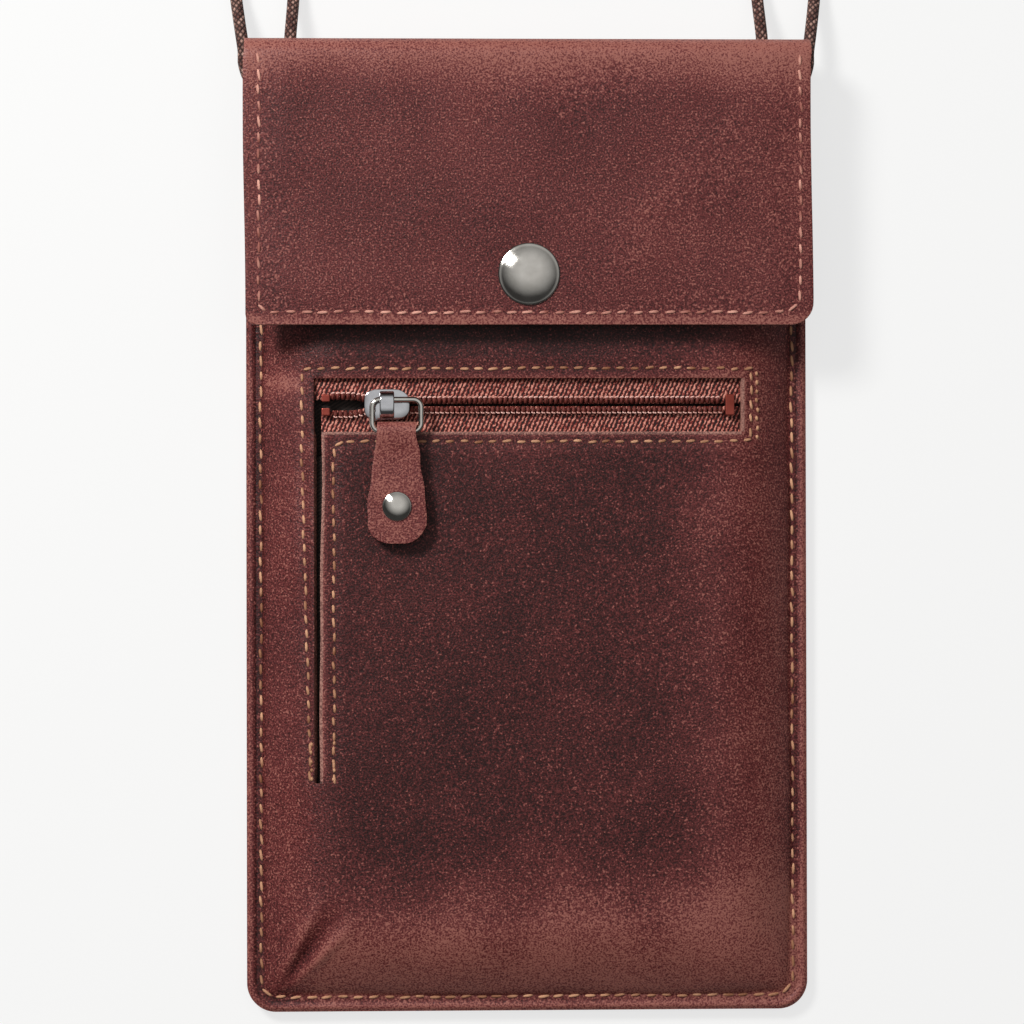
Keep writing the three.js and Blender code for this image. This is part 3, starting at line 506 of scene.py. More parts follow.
def ripple(x, y, size, seed):
    """A smooth unevenness of the given size in millimetres, from about -1 to 1."""
    return noise.noise((x / size, y / size, seed))


def flap_rise(x, y):
    """How far the flap's middle layer stands above or below its flat place."""
    sides = ease(48, 58, abs(x))
    tail = ease(50, 41, y)
    return 0.22 * ripple(x, y, 26, 3.1) - 0.4 * sides - 0.18 * tail + 0.12 * ripple(x, y, 9, 8.7)


def arc(middle_x, middle_y, radius, start, turn=90, steps=6):
    """Points round a middle from a start angle through a turn, both in degrees."""
    angles = [math.radians(start + turn * i / steps) for i in range(steps + 1)]
    return [(middle_x + radius * math.cos(a), middle_y + radius * math.sin(a)) for a in angles]


def rounded_rows(length, corner, count, spacing, both_ends=True):
    """Distances along a sheet for its rows, closer together where its rounded corners are."""
    ends = [corner * (1 - math.cos(i / count * math.pi / 2)) for i in range(count)]
    body = [corner + s for s in even_rows(length - corner * (1 + both_ends), spacing)]
    return ends + body + [length - s for s in ends[::-1] if both_ends]


def corner_cut(distance, radius):
    """How far a rounded corner draws the side in at a distance from the end."""
    return radius - math.sqrt(max(0, radius**2 - (radius - min(distance, radius)) ** 2))


wall_y = TOP_Y - LEATHER / 2
hide_spots = [(-TOP_Y, BACK_MIDDLE_Z)]
hide_spots += arc(wall_y - FOLD_LOW, BACK_MIDDLE_Z + FOLD_LOW, FOLD_LOW, -90)
hide_spots += arc(wall_y - FOLD_HIGH, FLAP_MIDDLE_Z - FOLD_HIGH, FOLD_HIGH, 0, steps=8)
hide_spots.append((FLAP_EDGE_Y, FLAP_MIDDLE_Z))
hide_path = [Vector((0, y, z)) for y, z in hide_spots]
hide_length = path_length(hide_path)
fold_start = 2 * TOP_Y - LEATHER / 2 - FOLD_LOW
fold_end = hide_length - (wall_y - FOLD_HIGH - FLAP_EDGE_Y)


def hide_reach(s):
    narrow = ease(fold_start - 5, fold_start + 1, s) - ease(fold_end - 9.2, fold_end - 5.4, s)
    half = HALF_WIDTH - (HALF_WIDTH - FOLD_HALF_WIDTH) * narrow
    left, right = [corner_cut(s, BACK_CORNER) + corner_cut(hide_length - s, r) for r in FLAP_CORNERS]
    sway = 0.25 * math.sin(s / 13) * (s > fold_end)
    return left - half + sway, half - right + sway


bm = sweep_sheet(hide_path, rounded_rows(hide_length, BACK_CORNER, 9, 1.1), 108, side_ways, hide_reach)
for side in (-1, 1):
    hole = Vector((side * CORD_HOLE_X, wall_y, CORD_HOLE_Z))
    cut = [f for f in bm.faces if (f.calc_center_median() - hole).length < CORD_HOLE_RADIUS]
    bmesh.ops.delete(bm, geom=cut, context="FACES")
    for vert in bm.verts:
        away = vert.co - hole
        if vert.is_boundary and away.length < 2 * CORD_HOLE_RADIUS:
            vert.co = hole + away.normalized() * CORD_HOLE_RADIUS
for vert in bm.verts:
    on_flap = ease(11.5, FLAP_MIDDLE_Z, vert.co.z)
    vert.co.z += on_flap * flap_rise(vert.co.x, vert.co.y)


def hide_wear(co):
    if co.z < 2:
        return 0.42 + 0.2 * ease(50, 58, abs(co.x)) + 0.1 * ripple(co.x, co.y, 35, 5)
    paleness = 0.4 * ease(86, 99, co.y) + 0.08 * ease(52, 57, abs(co.x)) + 0.16 * ease(45, 41, co.y)
    paleness += 0.2 * ease(FLAP_EDGE_Y + 2.6, FLAP_EDGE_Y + 1.4, co.y)
    return 0.5 + paleness + 0.06 * ease(0, 50, co.x) + 0.1 * ripple(co.x, co.y, 24, 2)


def settle(piece):
    """Makes a sheet's thickness and rounded edge part of its own mesh."""
    whole = bpy.data.meshes.new_from_object(piece.evaluated_get(bpy.context.evaluated_depsgraph_get()))
    piece.modifiers.clear()
    piece.data = whole


mark_wear_and_shading(bm, hide_wear)
hide = make_piece("hide", bm, brown_leather, cut_edge)
thicken(hide, LEATHER, edge=1, rounding=0.4)
settle(hide)
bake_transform(hide)
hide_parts("back_panel", "flap_leather")

# Linings: thin dark cotton twill. One sheet is glued to the flap and one to the back. Two flat bags
# hang behind the front for the zip pocket and the slip pocket, their edges turned up and sewn.
# Twill: fine slanting ribs, dull. Its ribs are drawn at 0.7 mm so that they show.
TWILL_RIB = 0.7
WAVE_SPREAD = 3.2


def woven_ribs(material, place, slant, rib, looks):
    """Slanting ribs at a spacing in millimetres; a wave texture at scale 1 repeats every 1 / 3.2 m."""
    turned = {"Vector": place, "Rotation": (0, 0, math.radians(slant))}
    slanted = add_node(material, "ShaderNodeMapping", turned).outputs[0]
    inputs = {"Vector": slanted, "Scale": 1 / (rib * MM) / WAVE_SPREAD, **looks}
    return add_node(material, "ShaderNodeTexWave", inputs).outputs["Fac"]


cotton, shader = new_material("cotton_twill")
place = object_place(cotton)
ribs = woven_ribs(cotton, place, 58, TWILL_RIB, {"Distortion": 0.6, "Detail": 2})
depth = math_node(cotton, "MULTIPLY", ribs, noise_node(cotton, place, 220, 4))
dye = mix_colours(cotton, depth, linear("#1c1513"), linear("#4a3a34"))
weave = bump_node(cotton, ribs, 0.4, 0.1)
feed(cotton, shader, {"Base Color": dye, "Normal": weave, "Roughness": 0.92})

LINING = 0.3
SEAM_WIDTH = 3.4
SLOPE_WIDTH = 16
TRAY_DEPTH = 7.4


def sag(x, y):
    """How far the front, and what hangs behind it, slopes down from its flat middle to the seam."""
    ends = [max(0.1, gap) ** -4 for gap in (HALF_WIDTH - abs(x), y + TOP_Y)]
    inset = sum(ends) ** -0.25 + 0.9 * ripple(x, y, 21, 14)
    return TRAY_DEPTH * (1 - min(1, max(0, (inset - SEAM_WIDTH) / SLOPE_WIDTH))) ** 2


def lining(name, path, spacing, columns, across, reach, body, node, sway):
    points = [Vector(p) for p in path]
    bm = sweep_sheet(points, even_rows(path_length(points), spacing), columns, across, lambda s: reach)
    for vert in bm.verts:
        vert.co.z += sway(vert.co.x, vert.co.y)
    piece = make_piece(name, bm, cotton, crease=math.radians(70))
    thicken(piece, LINING)
    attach(piece, body)
    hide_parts(node)


lining(
    "flap_facing", [(0, 97, 13.85), (0, 42.6, 13.85)], spacing=2, columns=56, across=side_ways,
    reach=(-56.6, 56.6), body="flap", node="flap_lining",
    sway=lambda x, y: flap_rise(x, y) - 0.05,
)
lining(
    "back_facing", [(0, -89, 1.7), (0, 89, 1.7)], spacing=3, columns=32, across=side_ways,
    reach=(-47, 47), body="pouch", node="back_lining",
    sway=lambda x, y: 0.12 * ripple(x, y, 20, 1),
)
zip_bag_spots = [(36.2, 8.5), (36.2, 6.9), (35.8, 6.7), (-60, 6.7), (-60.5, 6.9), (-60.5, 8.5)]
lining(
    "zip_bag", [(0, y, z) for y, z in zip_bag_spots], spacing=1.6, columns=40, across=side_ways,
    reach=(-48.6, 48.6), body="pouch", node="zip_pocket_bag",
    sway=lambda x, y: 0.16 * ripple(x, y, 15, 6) - sag(x, y),
)
slip_bag_spots = [(-46.4, 8.5), (-46.4, 7.9), (-46.1, 7.7), (-5.9, 7.7), (-5.6, 7.9), (-5.6, 8.5)]
lining(
    "slip_bag", [(x, -20.4, z) for x, z in slip_bag_spots], spacing=1.4, columns=40, across=length_ways,
    reach=(-35, 35), body="pouch", node="slip_pocket_bag",
    sway=lambda x, y: 0.08 * ripple(x, y, 12, 9) - sag(x, y),
)

# Front: a hide drawn up from its seam into a shallow tray and left open at the mouth under the flap.
# The zip's window and the slip pocket's slit are one cut, shaped like an L, and sewn all round.
MOUTH_Y = 72
FRONT_TOP_Z = 10.4
WINDOW_HALF = 44
WINDOW_LOW = 19.5
WINDOW_HIGH = 30.5
SLIT_RIGHT = -42.8
SLIT_LOW = -52.5
STITCH_INSET = 3.0
GROOVE_INSET = 2.0
WINDOW_STITCH = 2.0
RIGHT_ROW = -39.9
CREASE_ROOT = Vector((-53, -98))
EDGE_SHOWN = 0.6
LIP_WIDTH = 1.4
SNAP_REACH = 0.25


def bump(distance, width):
    return math.exp(-((distance / width) ** 2))


def from_side(x, y):
    """Distance in from the pouch's outer edge with its rounded bottom corners."""
    corner = math.hypot(max(0, BACK_CORNER - HALF_WIDTH + abs(x)), max(0, BACK_CORNER - y - TOP_Y))
    inset = min(HALF_WIDTH - abs(x), y + TOP_Y)
    return min(inset, BACK_CORNER - corner) if corner else inset


def from_window(x, y):
    """Distance out from the zip's window."""
    return math.hypot(max(0, abs(x) - WINDOW_HALF), max(0, WINDOW_LOW - y, y - WINDOW_HIGH))


def corner_crease(x, y):
    """The fold that fans out of the lower left corner: above 0 on its ridges, below 0 in its valley."""
    away = Vector((x, y)) - CREASE_ROOT
    reach = away.length
    if reach > 30:
        return 0
    strength = ease(1.5, 6, reach) * ease(28, 14, reach)
    turn = math.atan2(away.y, away.x)
    return strength * (
        bump(reach * math.sin(turn - 1.14), 1.3)
        - 1.4 * bump(reach * math.sin(turn - 0.95), 1.9)
        + 0.9 * bump(reach * math.sin(turn - 0.77), 1.1)
    )


def left_row(y):
    """Where the stitches at the slit's left run: they close in on the slit towards the bottom."""
    return -46.4 + 1.5 * ease(WINDOW_LOW, SLIT_LOW, y)


def beside_slit(y):
    return ease(SLIT_LOW - 2, SLIT_LOW + 4, y) * ease(WINDOW_LOW + 1, WINDOW_LOW - 1, y)


def front_height(x, y):
    """Height of the front's face: seam, slope and flat, with the pulls of stitches and the creases."""
    edge = from_side(x, y)
    height = FRONT_TOP_Z - sag(x, y)
    height -= 0.3 * bump(edge - STITCH_INSET, 0.7) + 0.35 * bump(edge - GROOVE_INSET, 0.45)
    height -= 0.5 * ease(1.1, 0, edge) ** 2
    on_top = ease(5, 9, edge)
    window = from_window(x, y)
    height -= on_top * (0.26 * bump(window - WINDOW_STITCH, 0.7) + 0.22 * bump(window, 0.8))
    height -= on_top * beside_slit(y) * 0.24 * (bump(x - left_row(y), 0.7) + bump(x - RIGHT_ROW, 0.7))
    height += on_top * beside_slit(y) * 0.35 * bump(x - SLIT_RIGHT, 1.3) * ease(-50, 18, y)
    height += on_top * 0.16 * (ripple(x, y, 30, 4) + 0.5 * ripple(x, y, 11, 7) - 0.6)
    height += 0.8 * corner_crease(x, y)
    height += 0.35 * ease(-72, -92, y) * ease(3, 6, edge) * ripple(x, y * 0.4, 12, 12)
    return height


def front_reach(s):
    half = HALF_WIDTH - corner_cut(s, BACK_CORNER)
    return -half, half


front_path = [Vector((0, -TOP_Y, 0)), Vector((0, MOUTH_Y, 0))]
rows = rounded_rows(MOUTH_Y + TOP_Y, BACK_CORNER, 16, 0.95, both_ends=False)
bm = sweep_sheet(front_path, rows, 150, side_ways, front_reach, crowd=1.5)
planes = [(side_ways, x) for x in (-WINDOW_HALF, WINDOW_HALF, SLIT_RIGHT)]
planes += [(length_ways, y) for y in (WINDOW_LOW, WINDOW_HIGH, SLIT_LOW)]
planes += [(side_ways, x + EDGE_SHOWN) for x in (WINDOW_HALF, SLIT_RIGHT)]
planes += [(side_ways, SLIT_RIGHT + LIP_WIDTH)]
planes += [(length_ways, y) for y in (WINDOW_LOW - EDGE_SHOWN, WINDOW_HIGH + EDGE_SHOWN)]
for normal, place in planes:
    spot = normal * place
    for vert in bm.verts:
        off = (vert.co - spot).dot(normal)
        if abs(off) < SNAP_REACH:
            vert.co -= off * normal
    bmesh.ops.bisect_plane(
        bm, geom=bm.verts[:] + bm.edges[:] + bm.faces[:], dist=1e-3, plane_co=spot, plane_no=normal
    )
cut = []
for face in bm.faces:
    x, y, _ = face.calc_center_median()
    in_window = abs(x) < WINDOW_HALF and WINDOW_LOW < y < WINDOW_HIGH
    in_slit = -WINDOW_HALF < x < SLIT_RIGHT and SLIT_LOW < y < WINDOW_HIGH
    if in_window or in_slit:
        cut.append(face)
bmesh.ops.delete(bm, geom=cut, context="FACES")
# Narrow strips of the face beside the slit's right side, the window's lower edge and its right end take
# the burnished edge's colour: the edge's own paler colour, drawn onto the face as a painted highlight.
for face in bm.faces:
    x, y, _ = face.calc_center_median()
    at_slit = SLIT_RIGHT < x < SLIT_RIGHT + EDGE_SHOWN and SLIT_LOW < y < WINDOW_LOW
    at_low = SLIT_RIGHT < x < WINDOW_HALF and WINDOW_LOW - EDGE_SHOWN < y < WINDOW_LOW
    at_end = WINDOW_HALF < x < WINDOW_HALF + EDGE_SHOWN and WINDOW_LOW < y < WINDOW_HIGH
    face.material_index = int(at_slit or at_low or at_end)
for vert in bm.verts:
    x, y, _ = vert.co
    vert.co.z = front_height(x, y)
    if SLIT_RIGHT - 0.01 < x < SLIT_RIGHT + 4 and SLIT_LOW < y < WINDOW_LOW + 0.01:
        lean = 0.5 * ease(-30, WINDOW_LOW, y) + 0.1 * math.sin(y / 5) * ease(SLIT_LOW, SLIT_LOW + 5, y)
        vert.co.x += lean * ease(SLIT_RIGHT + 4, SLIT_RIGHT, x)


# How worn the front is, together with painted shade and painted highlights, each marked below.
def front_wear_and_shading(co):
    x, y, _ = co
    edge = from_side(x, y)
    window = from_window(x, y)
    # Paler towards the bottom, mostly right of the slit: partly rubbing, partly a painted sheen.
    foot = ease(-62, -90, y) * (0.1 + 0.9 * ease(-52, -38, x))
    # Paler near the outer edge from rubbing. Darker for 10 mm under the flap's edge: a painted shadow of
    # the flap.
    paleness = 0.1 * ease(15, 8, edge) + 0.22 * ease(2, 0.5, edge) - 0.14 * ease(30, 40, y) + 0.58 * foot
    # Paler at the left side, partly rubbing and partly a painted sheen; paler towards the right. The
    # corner crease is paler on its ridges and darker in its valley: painted highlight and painted shade.
    paleness += 0.16 * ease(-34, -50, x) + 0.3 * ease(24, 44, x) + 0.22 * corner_crease(x, y)
    # Paler round the window; right at its cut edge the pale band is a painted highlight.
    paleness += 0.1 * bump(window - 3, 1.5) + 0.55 * bump(window, 0.7) * (x > -WINDOW_HALF + 2)
    # Darker in the groove and along the stitch line: painted shade in these recesses.
    paleness -= 0.26 * bump(edge - GROOVE_INSET, 0.5) + 0.2 * bump(edge - STITCH_INSET, 0.8)
    # A pale patch at the window's upper left: a painted highlight.
    paleness += 0.4 * bump(x + 49.5, 4) * bump(y - 29.5, 2.2)
    # A pale line along the slit's right edge: a painted highlight on its cut edge.
    paleness += 0.5 * bump(x - SLIT_RIGHT - 0.3, 0.9) * beside_slit(y)
    return min(0.88, 0.25 + paleness + 0.1 * ripple(x, y, 28, 1) + 0.08 * ripple(x, y, 10, 2))


mark_wear_and_shading(bm, front_wear_and_shading)
front = make_piece("front", bm, brown_leather, cut_edge)
thicken(front, LEATHER, offset=-1, edge=1, rounding=0.35)
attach(front, "pouch")
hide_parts("front_panel")

# Zip: two woven polyester tapes, each with a nylon coil sewn along its edge, and pressed metal stops.
# Woven tape: slanting ribs in two reds, drawn at 0.8 mm so that they show.
TAPE_RIB = 0.8
tape_cloth, shader = new_material("woven_tape")
place = object_place(tape_cloth)
crooked = {"Distortion": 3.2, "Detail": 3, "Detail Scale": 3.5}
ribs = woven_ribs(tape_cloth, place, 24, TAPE_RIB, crooked)
broken = math_node(tape_cloth, "MULTIPLY_ADD", noise_node(tape_cloth, place, 1800, 3), 2.0, -0.5)
shade = math_node(tape_cloth, "MULTIPLY", ribs, broken)
reds = colour_ramp(tape_cloth, shade, (0.08, "#220908"), (0.28, "#84281f"), (0.6, "#e29a87"))
weave = bump_node(tape_cloth, shade, 0.7, 0.2)
feed(tape_cloth, shader, {"Base Color": reds, "Normal": weave, "Roughness": 0.85})

# Nylon: moulded monofilament, smooth and slightly shiny, with a faint unevenness of the dye.
nylon, shader = new_material("nylon_coil")
dyed = noise_node(nylon, object_place(nylon), 900, 2)
tint = mix_colours(nylon, dyed, linear("#3c1512"), linear("#8a4238"))
feed(nylon, shader, {"Base Color": tint, "Roughness": 0.4, "IOR": 1.53})


# Sewing thread: bonded polyester, sandy pink where it catches the light and browner where it has worn.
# The flap's is dyed a little pinker than the rest, and the zip's is the palest.
def sewing_thread(name, worn, bright):
    material, shader = new_material(name)
    place = object_place(material)
    paleness = noise_node(material, place, 160, 4)
    colour = colour_ramp(material, paleness, (0.36, worn), (0.62, bright))
    plies = bump_node(material, noise_node(material, place, 4200, 1), 0.6, 0.1)
    feed(material, shader, {"Base Color": colour, "Normal": plies, "Roughness": 0.7})
    return material


thread = sewing_thread("sewing_thread", "#8a5638", "#d29c78")
flap_thread = sewing_thread("flap_sewing_thread", "#945347", "#dfa28f")
zip_thread = sewing_thread("zip_sewing_thread", "#c48274", "#f2c0b2")


def lay_bar(bm, middle, size, turn=0, droop=0.0):
    """A short rounded bar of the given half sizes, turned in plan, its two ends bent down by droop."""
    made = bmesh.ops.create_uvsphere(bm, u_segments=8, v_segments=6, radius=1)["verts"]
    bmesh.ops.rotate(bm, verts=made, matrix=Matrix.Rotation(math.pi / 2, 3, "Y"))
    for vert in made:
        x, y, z = vert.co
        squared = math.copysign(abs(x) ** 0.75, x)
        vert.co = (squared * size[0], y * size[1], z * size[2] - droop * x * x)
    bmesh.ops.rotate(bm, verts=made, matrix=Matrix.Rotation(turn, 3, "Z"))
    bmesh.ops.translate(bm, verts=made, vec=middle)


ZIP_Y = 25
SLIDER_X = -29
TAPE_END = 47
TAPE_OFFSET = 5.3
TAPE_OUTER = 4.7
TAPE_INNER = 5.25
TAPE_Z = 8.55
TAPE_THICKNESS = 0.4
CHAIN_END = 40.3
CHAIN_PITCH = 1.04
ROW_WIDTH = 1.4
ROW_Z = 9.52
ROW_BAR = (ROW_WIDTH / 2 + 0.15, 0.42, 0.58)
ROW_STITCH = (0.44, 0.2, 0.18)
ROW_STITCH_Z = 9.78


def parted(x):
    """Half the gap between the rows: hooked together at the slider's right, drawn apart at its left."""
    return 0.2 + 0.85 * ease(SLIDER_X - 2.2, SLIDER_X - 7.5, x)


for word, side in (("upper", 1), ("lower", -1)):
    left_end = -TAPE_END if side > 0 else SLIT_RIGHT + 0.4
    path = [Vector((x, ZIP_Y + side * TAPE_OFFSET, TAPE_Z)) for x in (left_end, TAPE_END)]

    def tape_reach(s):
        inner = TAPE_INNER - parted(s + left_end)
        return (-inner, TAPE_OUTER) if side > 0 else (-TAPE_OUTER, inner)

    bm = sweep_sheet(path, even_rows(TAPE_END - left_end, 1.0), 14, length_ways, tape_reach)
    for vert in bm.verts:
        vert.co.z += 0.05 * ripple(vert.co.x, vert.co.y, 6, side) - sag(vert.co.x, vert.co.y)
    tape = make_piece(f"tape_{word}", bm, tape_cloth)
    thicken(tape, TAPE_THICKNESS)
    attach(tape, "pouch")
    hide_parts(f"zip_tape_{word}")

    bm = bmesh.new()
    sewn = bmesh.new()
    for i in range(int(2 * CHAIN_END / CHAIN_PITCH)):
        x = -CHAIN_END + (i + (0.25 if side > 0 else 0.75)) * CHAIN_PITCH
        near = parted(x)
        row_y, sewn_y = ZIP_Y + side * (near + ROW_BAR[0]), ZIP_Y + side * (near + ROW_WIDTH)
        lay_bar(bm, (x, row_y, ROW_Z), ROW_BAR, turn=math.pi / 2, droop=0.2)
        lay_bar(sewn, (x, sewn_y, ROW_STITCH_Z), ROW_STITCH, turn=0.25 * side)
    row = make_piece(f"coil_row_{word}", bm, nylon)
    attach(row, "pouch")
    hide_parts(f"zip_coil_{word}")
    stitched = make_piece(f"coil_sewing_{word}", sewn, zip_thread)
    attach(stitched, "pouch")


# Metal pieces: the stops, slider, ring, rivet and press stud are plated steel and zinc.
# Plated metal: cast and tumbled, bright with faint smudges in its colour and gloss.
def plated(name, bright, dull, roughness):
    material, shader = new_material(name)
    place = object_place(material)
    smudge = noise_node(material, place, 420, 4)
    looks = {
        "Base Color": mix_colours(material, smudge, linear(dull), linear(bright)),
        "Metallic": 1.0,
        "Roughness": map_range(material, smudge, (0.3, 0.7), roughness),
        "Normal": bump_node(material, noise_node(material, place, 2600, 2), 0.05, 0.06),
    }
    feed(material, shader, looks)
    return material


nickel = plated("nickel_plate", "#dedad3", "#b9b4ac", (0.06, 0.15))
zinc = plated("zinc_casting", "#dcdcde", "#b4b4b8", (0.07, 0.16))
lacquer = plated("red_lacquer", "#a8564a", "#743028", (0.38, 0.55))


def dress(node, material, rounding):
    """A CAD node that keeps its shape gets its finish and softened edges."""
    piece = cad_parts[node]
    piece.data.materials.clear()
    piece.data.materials.append(material)
    piece.modifiers.new("joined", "WELD").merge_threshold = 0.01 * MM
    soft = piece.modifiers.new("softened", "BEVEL")
    soft.width = rounding * MM
    soft.segments = 2
    soft.limit_method = "ANGLE"


for node in ("zip_top_stop_upper", "zip_top_stop_lower", "zip_bottom_stop"):
    dress(node, lacquer, 0.25)

# Slider: a zinc casting of two plates on a neck, with side guides and a bridge bent over the top.
# It runs along the rows, and the ring hangs in its bridge.
SLIDER_HALF = 4.65
SLIDER_WIDE = 3.2
SLIDER_PLATES = ((7.2, 8.0), (10.5, 11.3))
SLIDER_NECK = ((-3.65, -0.15, 7.6), (-0.2, 0.15, 11.0))
GUIDE_SIDES = (-3.15, 2.8)
BRIDGE_HALF_SPAN = 2.4
BRIDGE_HALF_WIDTH = 1.5
BRIDGE_RISE = 2.9
BRIDGE_FOOT_Z = 11.0
BRIDGE_THICKNESS = 0.8


def slab(bm, outline, low, high, rounding):
    """A plate of a given outline with rounded rims and a slightly crowned top."""
    face = bm.faces.new([bm.verts.new((x, y, low)) for x, y in outline])
    bmesh.ops.recalc_face_normals(bm, faces=[face])
    raised = bmesh.ops.extrude_face_region(bm, geom=[face])["geom"]
    top = [g for g in raised if isinstance(g, bmesh.types.BMVert)]
    bmesh.ops.translate(bm, verts=top, vec=(0, 0, high - low))
    rim = []
    for edge in bm.edges:
        if any(all(abs(v.co.z - level) < 1e-5 for v in edge.verts) for level in (low, high)):
            rim.append(edge)
    bmesh.ops.bevel(bm, geom=rim, offset=rounding, affect="EDGES", segments=2, profile=0.5, material=-1)
    bmesh.ops.recalc_face_normals(bm, faces=bm.faces)
    lid = max(bm.faces, key=lambda f: (round(f.calc_center_median().z, 3), f.calc_area()))
    bmesh.ops.inset_region(bm, faces=[lid], thickness=1.3, depth=0.25)


def boxy(angle, power):
    """Cosine and sine of an angle, drawn out towards the corners of a square."""
    return [math.copysign(abs(v) ** power, v) for v in (math.cos(angle), math.sin(angle))]


outline = []
for i in range(40):
    angle = i / 40 * math.tau
    out, over = boxy(angle, 0.55)
    wide = SLIDER_WIDE * (1 - 0.16 * ease(0.2, 1, math.cos(angle)))
    outline.append((SLIDER_X + out * SLIDER_HALF, ZIP_Y + over * wide))
bm = bmesh.new()
for low, high in SLIDER_PLATES:
    slab(bm, outline, low, high, 0.24)
guides = [((-2.6, y, 9.15), (2.2, y + 0.35, 11.0)) for y in GUIDE_SIDES]
for low, high in [SLIDER_NECK] + guides:
    made = bmesh.ops.create_cube(bm, size=1)["verts"]
    bmesh.ops.scale(bm, verts=made, vec=[b - a for a, b in zip(low, high)])
    middle = Vector([(a + b) / 2 for a, b in zip(low, high)])
    bmesh.ops.translate(bm, verts=made, vec=middle + Vector((SLIDER_X, ZIP_Y, 0)))
slider = make_piece("slider", bm, zinc)
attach(slider, "zip_slider")
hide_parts("zip_slider")

arch = []
for i in range(25):
    c, s = math.cos(i / 24 * math.pi), math.sin(i / 24 * math.pi)
    y = ZIP_Y - math.copysign(abs(c) ** 0.7, c) * BRIDGE_HALF_SPAN
    arch.append(Vector((SLIDER_X, y, BRIDGE_FOOT_Z + BRIDGE_RISE * abs(s) ** 0.6)))
arch_rows = even_rows(path_length(arch), 0.3)
bm = sweep_sheet(arch, arch_rows, 6, side_ways, lambda s: (-BRIDGE_HALF_WIDTH, BRIDGE_HALF_WIDTH))
bridge = make_piece("slider_bridge", bm, zinc)
thicken(bridge, BRIDGE_THICKNESS, rounding=0.25)
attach(bridge, "zip_slider")

# Pull: a ring of nickelled wire in the slider's bridge and a tab of the same leather folded round it,
# closed by a tubular rivet with a domed cap.
RING_X = -27
RING_Z = 12.6
RING_NEAR_Y = 26
RING_FAR_Y = 19.6
RING_HALF = 5.0
RING_CORNER = 1.6
RING_WIRE_RADIUS = 0.6
ring_left, ring_right = RING_X - RING_HALF + RING_CORNER, RING_X + RING_HALF - RING_CORNER
ring_far, ring_near = RING_FAR_Y + RING_CORNER, RING_NEAR_Y - RING_CORNER
ring_spots = arc(ring_right, ring_far, RING_CORNER, -90) + arc(ring_right, ring_near, RING_CORNER, 0)
ring_spots += arc(ring_left, ring_near, RING_CORNER, 90) + arc(ring_left, ring_far, RING_CORNER, 180)
ring_line = [Vector((x, y, RING_Z)) for x, y in ring_spots]
ring = wire("ring", ring_line, RING_WIRE_RADIUS, nickel, closed=True, sides=5)
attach(ring, "pull_ring")
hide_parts("pull_ring")

TAB_END_Y = -3.4
TAB_CORNER = 4.6
TAB_LAYER = 0.55
TAB_THICKNESS = 1.0
LOOP_RADIUS = 1.4
# How far the tab's two layers stand from the ring's plane, from the tab's end up to the ring.
tab_layer = [(y, TAB_LAYER) for y in (TAB_END_Y, 0, 5, 10, 13)] + [(15.6, 0.75), (17.4, 1.12)]
tab_spots = [(y, RING_Z - off) for y, off in tab_layer]
tab_spots += arc(RING_FAR_Y, RING_Z, LOOP_RADIUS, -108, turn=216, steps=8)
tab_spots += [(y, RING_Z + off) for y, off in tab_layer[::-1]]
tab_line = smooth_path([(0, y, z) for y, z in tab_spots], 0.3)
tab_lengths = lengths_along(tab_line)


def tab_reach(s):
    y = along(tab_line, tab_lengths, s).y
    half = 4.0 + 0.7 * ease(19, 14.5, y) + 1.3 * ease(15.5, 3, y)
    half -= corner_cut(y - TAB_END_Y, TAB_CORNER) if y < 0 else 0
    wobble = 0.1 * math.sin(y * 0.9)
    return RING_X - half + wobble, RING_X + half + wobble


tab_rows = rounded_rows(path_length(tab_line), TAB_CORNER, 8, 0.55)
bm = sweep_sheet(tab_line, tab_rows, 18, side_ways, tab_reach)
mark_wear_and_shading(bm, lambda co: 0.76 + 0.14 * ripple(co.x, co.y, 5, 3) + 0.12 * ease(14, 19, co.y))
tab = make_piece("tab", bm, brown_leather, cut_edge)
thicken(tab, TAB_THICKNESS, edge=1, rounding=0.22)
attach(tab, "pull_tab")
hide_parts("pull_tab")


def turn_piece(name, profile, x, y, material, steps=48):
    """A turned or pressed round piece: pairs of radius and height from its crown to its foot."""
    bm = bmesh.new()
    spots = [bm.verts.new((radius, 0, height)) for radius, height in profile]
    edges = [bm.edges.new(pair) for pair in zip(spots, spots[1:])]
    bmesh.ops.spin(
        bm, geom=spots + edges, axis=(0, 0, 1), angle=math.tau, steps=steps, use_merge=True
    )
    bmesh.ops.remove_doubles(bm, verts=bm.verts, dist=1e-4)
    bmesh.ops.recalc_face_normals(bm, faces=bm.faces)
    bmesh.ops.translate(bm, verts=bm.verts, vec=(x, y, 0))
    return make_piece(name, bm, material)


def dome(low, rise, radius, lip):
    """Profile of a pressed cap: a shallow dome that rolls over into an upright lip."""
    out = [i / 12 for i in range(13)]
    crown = [(radius * 0.95 * share, low + lip + (rise - lip) * (1 - share**2)) for share in out]
    return crown + [(radius * 0.985, low + lip * 0.8), (radius, low + lip * 0.4), (radius * 0.96, low)]


RIVET_Y = 4.2
rivet_profile = dome(low=13.75, rise=1.0, radius=3.0, lip=0.2) + [(1.2, 13.75), (1.2, 11.5), (0, 11.5)]
rivet = turn_piece("rivet_cap", rivet_profile, RING_X, RIVET_Y, nickel)
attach(rivet, "pull_tab")
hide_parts("pull_rivet_cap")
dress("pull_rivet_back", nickel, 0.12)

